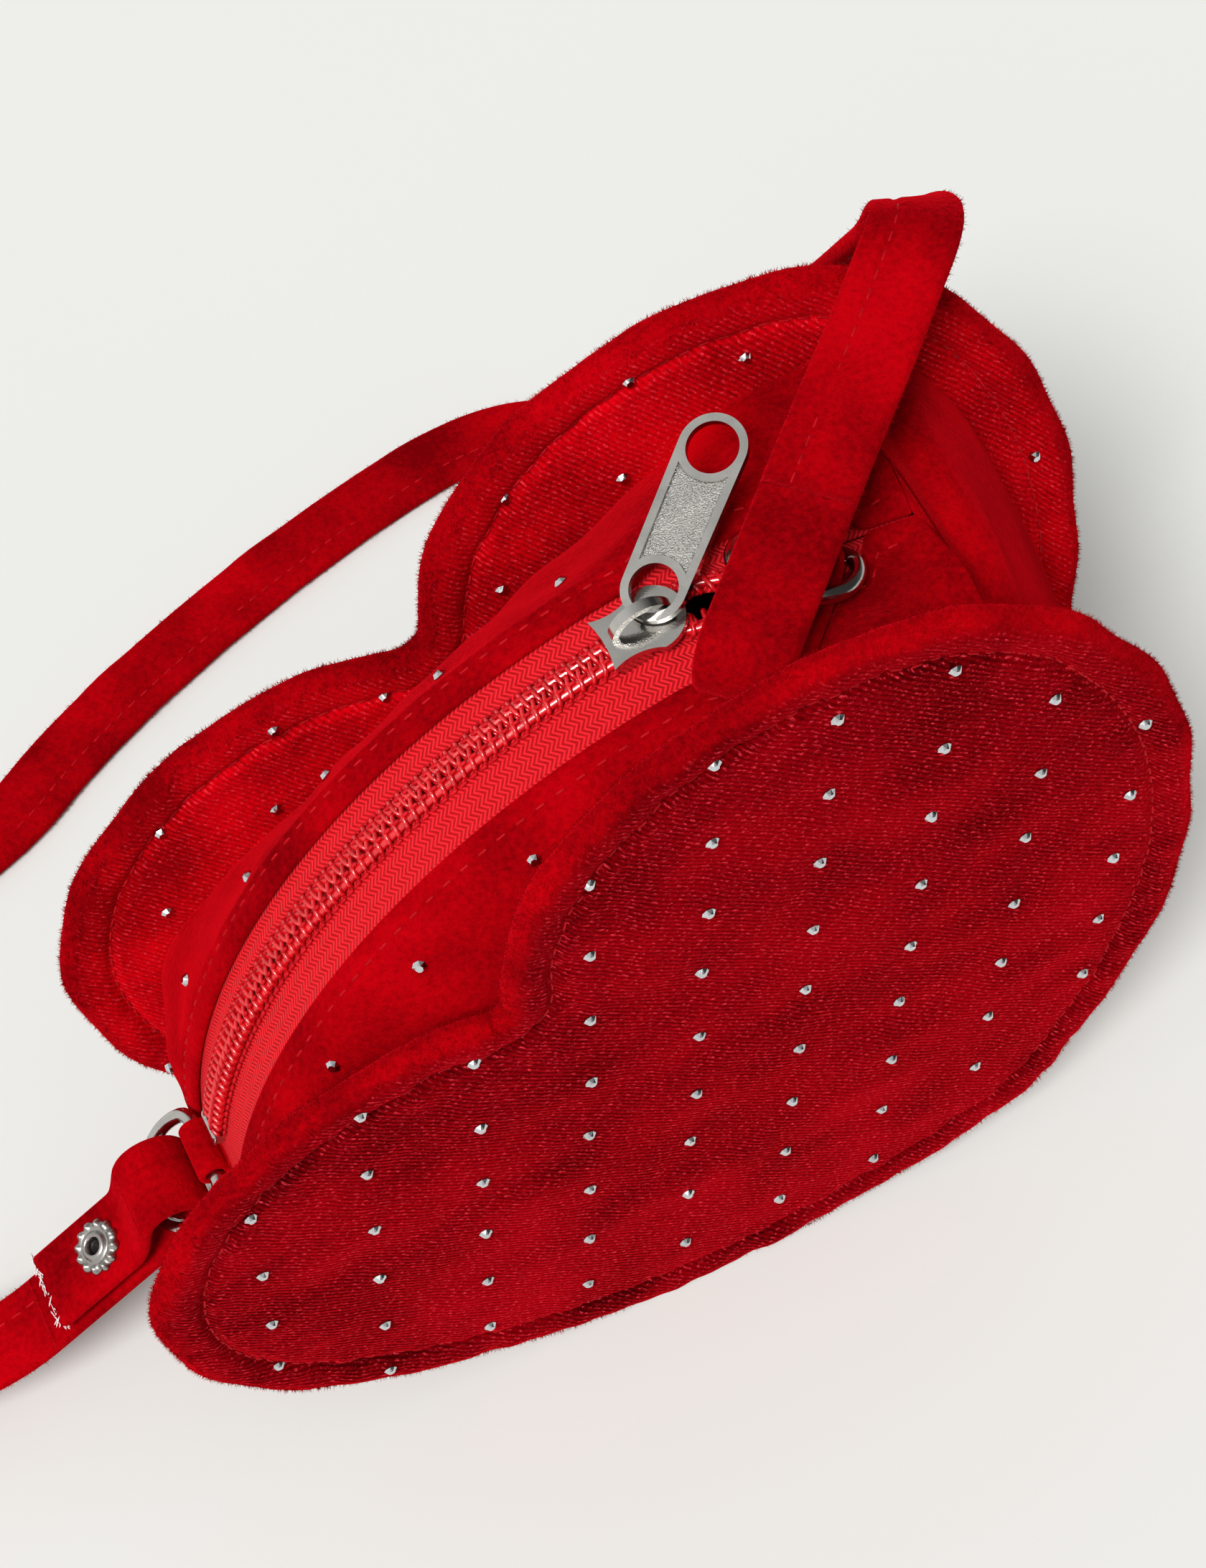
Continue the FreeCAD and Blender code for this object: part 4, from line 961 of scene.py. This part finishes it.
WIRE_R, BOW_R, BAR_HALF, BEND_R = 1.3, 9.5, 6.2, 2.6
BOW_X = BEND_R + math.sqrt((BOW_R - BEND_R) ** 2 - BAR_HALF ** 2)
TAB_W, TAB_T, TAB_ROUND, TAB_HALF, TAB_EYE_R, RING_PLAY = 10.5, 1.4, 0.7, 0.66, 2.15, 0.15
CLIP_H = WIRE_R + RING_PLAY + TAB_T + RING_PLAY
STOP_MARGIN, STOP_LENGTH, TAB_GAP = 0.5, 2.2, 0.7
TAB_A = ZIP_END + math.degrees((STOP_MARGIN + STOP_LENGTH + TAB_GAP + TAB_W / 2) / ZIP_R)
RING_LEFT_DROP, STRAP_LEFT_DROP, RING_RIGHT_TURN, RING_RIGHT_RISE = 48, 40, 135, 24
CLIPS = {
    "left": zip_frame(-TAB_A, TAPE_T / 2 + CLIP_H),
    "right": turned(zip_frame(TAB_A, TAPE_T / 2 + CLIP_H), 2, -RING_RIGHT_TURN),
}
RINGS = {
    "left": turned(CLIPS["left"], 1, 270 - RING_LEFT_DROP),
    "right": turned(CLIPS["right"], 1, -RING_RIGHT_RISE),
}


def ring_wire():
    """D-ring in its own axes: wire along a bar on Y, two round corners and a bow, all tangent."""
    turn = math.degrees(math.atan2(BAR_HALF, BEND_R - BOW_X))
    corner = arc(BEND_R, BAR_HALF, BEND_R, 180, turn, 14)
    bow = arc(BOW_X, 0, BOW_R, turn, -turn, 60)[1:-1]
    bar = rows(0, np.linspace(-BAR_HALF, BAR_HALF, 8)[1:-1])
    flat = chain(corner, bow, corner[::-1] * (1, -1), bar)
    path = rows(*flat.T, 0)
    along = unit(np.roll(path, -1, 0) - np.roll(path, 1, 0))
    return rod(path, np.cross((0, 0, 1), along), (0, 0, 1), WIRE_R, 16, loop=True)


def ring_tab():
    """Tab: one strip of velvet up from the tape, round the ring's bar and down again."""
    eye = arc(0, 0, TAB_EYE_R, -62, 242, 40)
    leg = rows(0.72, np.linspace(-CLIP_H, -2.4, 6))
    s = across_steps(TAB_W, 10, TAB_ROUND)
    flat = chain(leg, eye, leg[::-1] * (-1, 1))
    return drawn_strip(flat, s, TAB_W, edge_round(s, TAB_W, TAB_HALF, TAB_ROUND))


for way in CLIPS:
    remade("d_ring_" + way, "wire", placed(RINGS[way], ring_wire()), nickel, "ring_" + way)
    cloth("ring_tab_" + way, placed(CLIPS[way], ring_tab()))

FOLD_R, FOLD_SLACK, STRAP_LEG, SEWN, HALF_LOOP, LOOP_SAG = 4.4, 3.2, 36.0, 18.0, 7.5, 0.9
MID_R = FOLD_R + STRAP_T / 2
FLAP_END, FLAP_BEND, FLAP_Z, FLAP_CLOSE, SNAP_X = 30.09, 11.6, -1.0, 38.0, 16.59
LEFT_FOLD = after(RINGS["left"], (rotation(0, 180), np.array([BOW_X + BOW_R - FOLD_SLACK, 0, 0])))
LEFT_FOLD = turned(LEFT_FOLD, 1, STRAP_LEFT_DROP - RING_LEFT_DROP)
right_apex = at(RINGS["right"], np.array([BOW_X + BOW_R, 0, 0]))
RIGHT_FOLD = (CLIPS["right"][0] @ rotation(2, 180), right_apex)
RIGHT_FOLD = after(RIGHT_FOLD, (np.eye(3), np.array([FOLD_SLACK - HALF_LOOP, 0, 0])))


def left_end_line():
    """Strap's left end: straight along the strap, then an arc back over the ring."""
    leg = rows(np.linspace(STRAP_LEG, 0, 30)[:-1], -MID_R)
    return chain(leg, arc(0, 0, MID_R, 270, 90 - FLAP_CLOSE, 40))


def left_flap_line():
    """Strap's left flap: a cubic from the fold's end and slope to level, then straight on to the cut end."""
    x0, z0 = left_end_line()[-1]
    x = np.linspace(x0, FLAP_BEND, 24)
    t = (x - x0) / (FLAP_BEND - x0)
    slope = math.tan(math.radians(FLAP_CLOSE)) * (FLAP_BEND - x0)
    z = z0 * (2 * t ** 3 - 3 * t ** 2 + 1) - slope * (t ** 3 - 2 * t ** 2 + t) + FLAP_Z * (3 * t ** 2 - 2 * t ** 3)
    return chain(rows(x, z), rows(np.linspace(FLAP_BEND, FLAP_END, 24)[1:], FLAP_Z))


def right_end_line():
    """Strap's right end: sewn under the strap, round through the ring, and back on a flatter round."""
    over = rows(np.linspace(SEWN, -HALF_LOOP, 16)[:-1], MID_R)
    turn = np.radians(np.linspace(-90, 60, 24))
    back = rows(HALF_LOOP + MID_R * np.cos(turn), (MID_R - LOOP_SAG) * np.sin(turn) - LOOP_SAG)
    return chain(over, arc(-HALF_LOOP, 0, MID_R, 90, 270, 30), back)


def strap_piece(node, line, pose, body="bag"):
    """Length of strap along a line, as wide and thick as the strap."""
    cloth(node, placed(pose, drawn_strip(line, STRAP_S, STRAP_W, STRAP_HALF)), body)


SNAP_TURN, PETALS, EYE_ROWS = 120, 12, 3
SNAP_PROFILE = np.array([
    (0.3, 0.15), (0.9, 0.15), (1.25, 0.25), (1.42, 0.6), (1.5, 1.15), (1.7, 1.5), (2.05, 1.55), (2.4, 1.3),
    (2.65, 0.85), (2.95, 0.7), (3.25, 0.8), (3.6, 1.0), (3.95, 1.1), (4.35, 1.0), (4.7, 0.7), (4.95, 0.3),
    (5.0, 0.0), (3.0, 0.0), (0.3, 0.0)])


def snap_flower():
    """Snap's cap: a profile turned about its axis. Waves draw its petals in and down, a dot on each."""
    radius, height = SNAP_PROFILE.T[..., None]
    turn = np.linspace(0, 2 * np.pi, SNAP_TURN, endpoint=False)[None]
    petal = 0.5 + 0.5 * np.cos(PETALS * turn)
    share = smooth((radius - 3.0) / 1.3)
    dots = 0.3 * bump(radius - 3.9, 0.5) * petal ** 3
    r = radius - 0.5 * share * (1 - petal) ** 1.5
    z = np.where(height > 0, height - 0.3 * share * (1 - petal) * height + dots, 0)
    return capped(rows(SNAP_X + r * np.cos(turn), r * np.sin(turn), FLAP_Z + STRAP_T / 2 + z))


def frayed_end(count=150):
    """Pale loose threads along the flap's cut end: beads at random, mostly across the strap."""
    rng = np.random.default_rng(8)
    place = rows(
        FLAP_END + rng.normal(0, 0.25, count), rng.uniform(-7.3, 7.3, count), FLAP_Z + rng.uniform(-1, 1.5, count))
    along = unit(rows(rng.normal(0, 0.5, count), rng.choice([-1, 1], count), rng.normal(0, 0.4, count)))
    side = unit(np.cross(along, (0, 0, 1)))
    return copies(bead(2.2, 0.11), place, np.stack([along, side, np.cross(along, side)], 1))


strap_piece("strap_end_left", left_end_line(), LEFT_FOLD)
strap_piece("strap_flap_left", left_flap_line(), LEFT_FOLD, "flap_left")
flower = remade(
    "snap_cap_left", "flower", placed(LEFT_FOLD, snap_flower()), snap_metal, "flap_left")
flower.data.materials.append(snap_dark)
ring_row = np.arange(len(flower.data.polygons)) // SNAP_TURN
in_eye = (ring_row < EYE_ROWS) | (ring_row == ring_row[-1] - 1)
flower.data.polygons.foreach_set("material_index", in_eye.astype(np.int32))
add_piece("strap_flap_left_fray", placed(LEFT_FOLD, frayed_end()), thread_pale, "flap_left")
strap_piece("strap_end_right", right_end_line(), RIGHT_FOLD)


# Stones: small cut stones in two tiers on a diamond grid

# Radius, height and turn of a stone's rings: girdle, raised girdle, table
STONE_RINGS = ((1.15, -0.25, 0), (1.2, 0.3, 0), (0.62, 0.95, np.pi / 8))
STONE_MARGIN = 4.0
GRID, GRID_X, GRID_Z = 27.4, -9.9, 87.7
BAND_STONES = (-42.0, -28.6, -15.2, -1.8, 11.6, 25.0)


def stone_shape():
    """One stone, Z outwards: three rings of eight points, the last turned between the others, and flat ends."""
    turn = np.linspace(0, 2 * np.pi, 8, endpoint=False)
    rings = [rows(r * np.cos(turn + shift), r * np.sin(turn + shift), height) for r, height, shift in STONE_RINGS]
    i = np.arange(8)
    j = (i + 1) % 8
    crown = chain(rows(8 + i, 8 + j, 16 + i), rows(8 + j, 16 + j, 16 + i))
    return np.concatenate(rings), [rows(i, j, 8 + j, 8 + i), crown, np.stack([i[::-1], 16 + i])]


def add_stones(name, places, outward, seed):
    """Stones at places with their own outward directions, each turned and tilted a little."""
    rng = np.random.default_rng(seed % 1000)
    up = unit(outward + rng.normal(0, 0.07, outward.shape))
    side = unit(np.cross(up, unit(rng.normal(0, 1, up.shape))))
    stones = copies(stone_shape(), places, np.stack([side, np.cross(up, side), up], 1))
    remade(name, "cut", stones, stone_glass, flat=True)


def on_flange(x, z):
    """True where points of a panel lie outside the pouch's seam line by a margin."""
    by_corner = np.hypot(np.abs(x) - CORNER_X, z - CORNER_Z) > CORNER_R + STONE_MARGIN
    by_flank = np.hypot(np.abs(x) - FLANK_X, z - FLANK_Z) > POUCH_R + STONE_MARGIN
    corner = (z > CORNER_Z) & (np.abs(x) > CORNER_X)
    return (z > POUCH_TOP + STONE_MARGIN) | np.where(corner, by_corner, by_flank)


i, j = np.meshgrid(np.arange(-9, 18), np.arange(-9, 18), indexing="ij")
grid_x, grid_z = (GRID_X + (j - i) * GRID / 2).ravel(), (GRID_Z - (i + j) * GRID / 2).ravel()
inside = in_heart(grid_x, grid_z, STONE_MARGIN)
grid_x, grid_z = grid_x[inside], grid_z[inside]
everywhere, flange = np.full(len(grid_x), True), on_flange(grid_x, grid_z)
for name, pose, way, keep, seed in (
    ("stones_front", BAG, -1, everywhere, -9), ("stones_inner_front", BAG, 1, flange, 11),
    ("stones_inner_back", BACK, -1, flange, -8), ("stones_back", BACK, 1, everywhere, 12),
):
    x, z = grid_x[keep], grid_z[keep]
    y = face_height(x, z, rim_depth(x, z), way, seed)
    add_stones(name, at(pose, rows(x, y, z)), face_normals(pose, way, len(x)), seed + 50)

places, outward = [], []
for way, angles in (("front", BAND_STONES[:-1]), ("back", BAND_STONES)):
    middle, normal, s = BANDS[way]
    for angle in angles:
        row = np.argmin(np.abs(BAND_A - angle))
        column = np.argmin(np.abs(s[row] - (FOLD + 0.22 * (s[row, -1] - FOLD))))
        places.append(middle[row, column] + normal[row, column] * BAND_HALF)
        outward.append(normal[row, column])
add_stones("stones_bands", at(BAG, np.array(places)), np.array(outward) @ BAG[0].T, 90)


# Metal pieces as the part has them, edges eased, and the pull tab's sanded field

for names, material, slot, ease in (
    (("slider_body", "slider_bridge", "pull_tab", "zip_bottom_stop", "zip_top_stops"), nickel, "nickel", 0.3),
    (("snap_socket_left", "snap_stud_left", "snap_back_left"), snap_metal, "snap_metal", 0.25),
):
    for name in names:
        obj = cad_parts[name]
        obj.data.materials.clear()
        obj.data.materials.append(material)
        obj.data.polygons.foreach_set("use_smooth", np.ones(len(obj.data.polygons), bool))
        bevel = obj.modifiers.new("ease", "BEVEL")
        bevel.width = ease * MM
        bevel.segments = 3
        bevel.limit_method = "ANGLE"
        bevel.angle_limit = math.radians(40)
        bevel.harden_normals = True

PULL_LENGTH, PULL_END_R, PULL_EYE_R, PULL_T, PULL_RIM = 34.0, 5.5, 5.2, 1.5, 1.3
PULL_SWING, PULL_RISE, PULL_ROLL, PULL_AHEAD, PULL_LIFT = 37.0, 10.0, 3.6, 0.6, 1.3
FIELD_SINK, FIELD_T = 0.2, 0.12
COIL_H, COIL_RIB, CHAIN_PLAY, PLATE_T = 1.7, 0.6, 0.4, 1.2
SHIELD_TOP = TAPE_T / 2 + COIL_H + COIL_RIB + CHAIN_PLAY + PLATE_T
pull_turn = rotation(2, PULL_SWING) @ rotation(1, -PULL_RISE) @ rotation(0, PULL_ROLL)
PULL = after(zip_frame(SLIDER_A, 0.0), (pull_turn, np.array([PULL_AHEAD, 0, SHIELD_TOP + PULL_LIFT])))


def pull_field():
    """Sanded field on both faces of the pull tab: a plate ruled between arcs round its eye and end hole."""
    eye_x, hole_x = PULL_EYE_R - PULL_RIM / 2, PULL_LENGTH - PULL_RIM / 2 - PULL_END_R
    v = np.linspace(-0.985, 0.985, 25)[None]
    u = np.linspace(0, 1, 40)[:, None]
    first, last = PULL_EYE_R - PULL_RIM, PULL_END_R - PULL_RIM
    y = v * (first + (last - first) * u)
    low = eye_x + np.sqrt((PULL_EYE_R + 0.02) ** 2 - y ** 2)
    high = hole_x - np.sqrt((PULL_END_R + 0.02) ** 2 - y ** 2)
    x = low + (high - low) * u
    index = np.arange(x.size).reshape(x.shape)
    rim = chain(index[0], index[1:, -1], index[-1, -2::-1], index[-2:0:-1, 0])
    next_rim = np.roll(rim, -1)
    wall = rows(rim, next_rim, next_rim + index.size, rim + index.size)
    faces = [quads(index), quads(index)[:, ::-1] + index.size, wall]
    parts = []
    for way in (-1, 1):
        top = rows(x, y, way * (PULL_T / 2 - FIELD_SINK)).reshape(-1, 3)
        points = chain(top, top - (0, 0, way * FIELD_T))
        parts.append((points, faces if way < 0 else [group[:, ::-1] for group in faces]))
    return joined(parts)


add_piece("pull_tab_field", placed(PULL, pull_field()), nickel_sand, "pull")


# Floor and light

FLOOR_HALF, FLOOR_Z = 30.0, -0.0005
paper = Finish("paper")
tone = paper.ramp(paper.noise(3), (0.3, (0.745, 0.75, 0.725)), (0.7, (0.76, 0.765, 0.74)))
paper.set(Base_Color=tone, Roughness=0.95, Specular_IOR_Level=0.1)
mesh = bpy.data.meshes.new("floor")
corners = [(x * FLOOR_HALF, y * FLOOR_HALF, FLOOR_Z) for x, y in ((-1, -1), (1, -1), (1, 1), (-1, 1))]
mesh.from_pydata(corners, [], [(0, 1, 2, 3)])
mesh.materials.append(paper.material)
obj = in_scene("floor", mesh)

# Even light for cloth, bright on the left and dark on the right for metal, and pale behind the floor
EVEN_LIGHT, PALE_BACKDROP = 0.35, 0.86
world = bpy.data.worlds.new("studio")
world.use_nodes = True
background = world.node_tree.nodes["Background"]
background.inputs["Color"].default_value = (1.0, 1.0, 0.985, 1)
rays, room, split, falloff, mirrored, seen = [
    world.node_tree.nodes.new("ShaderNode" + kind)
    for kind in ("LightPath", "TexCoord", "SeparateXYZ", "MapRange", "Mix", "Mix")]
for name, value in (("From Min", -0.6), ("From Max", 0.6), ("To Min", 0.85), ("To Max", 0.05)):
    falloff.inputs[name].default_value = value
mirrored.inputs["A"].default_value = EVEN_LIGHT
seen.inputs["B"].default_value = PALE_BACKDROP
for source, socket in (
    (room.outputs["Generated"], split.inputs[0]), (split.outputs["X"], falloff.inputs["Value"]),
    (rays.outputs["Is Glossy Ray"], mirrored.inputs["Factor"]), (falloff.outputs["Result"], mirrored.inputs["B"]),
    (rays.outputs["Is Camera Ray"], seen.inputs["Factor"]), (mirrored.outputs["Result"], seen.inputs["A"]),
    (seen.outputs["Result"], background.inputs["Strength"]),
):
    world.node_tree.links.new(source, socket)
bpy.context.scene.world = world


def soft_light(light, place, power):
    """Soft light of a power that looks at the bag from a place."""
    light.energy = power
    away = unit(np.array((0, 0, 0.05)) - place)
    right = unit(np.cross(away, (0, 0, 1)))
    obj = set_up(light.name, light, right, np.cross(right, away), away, place)


key = bpy.data.lights.new("key", "SUN")
key.angle = math.radians(18)
soft_light(key, (-0.8, -0.7, 1.5), power=2.75)
fill = bpy.data.lights.new("fill", "AREA")
fill.size = 1.4
soft_light(fill, (-0.9, -0.6, 1.4), power=5)

bpy.context.scene.view_settings.view_transform = "Standard"
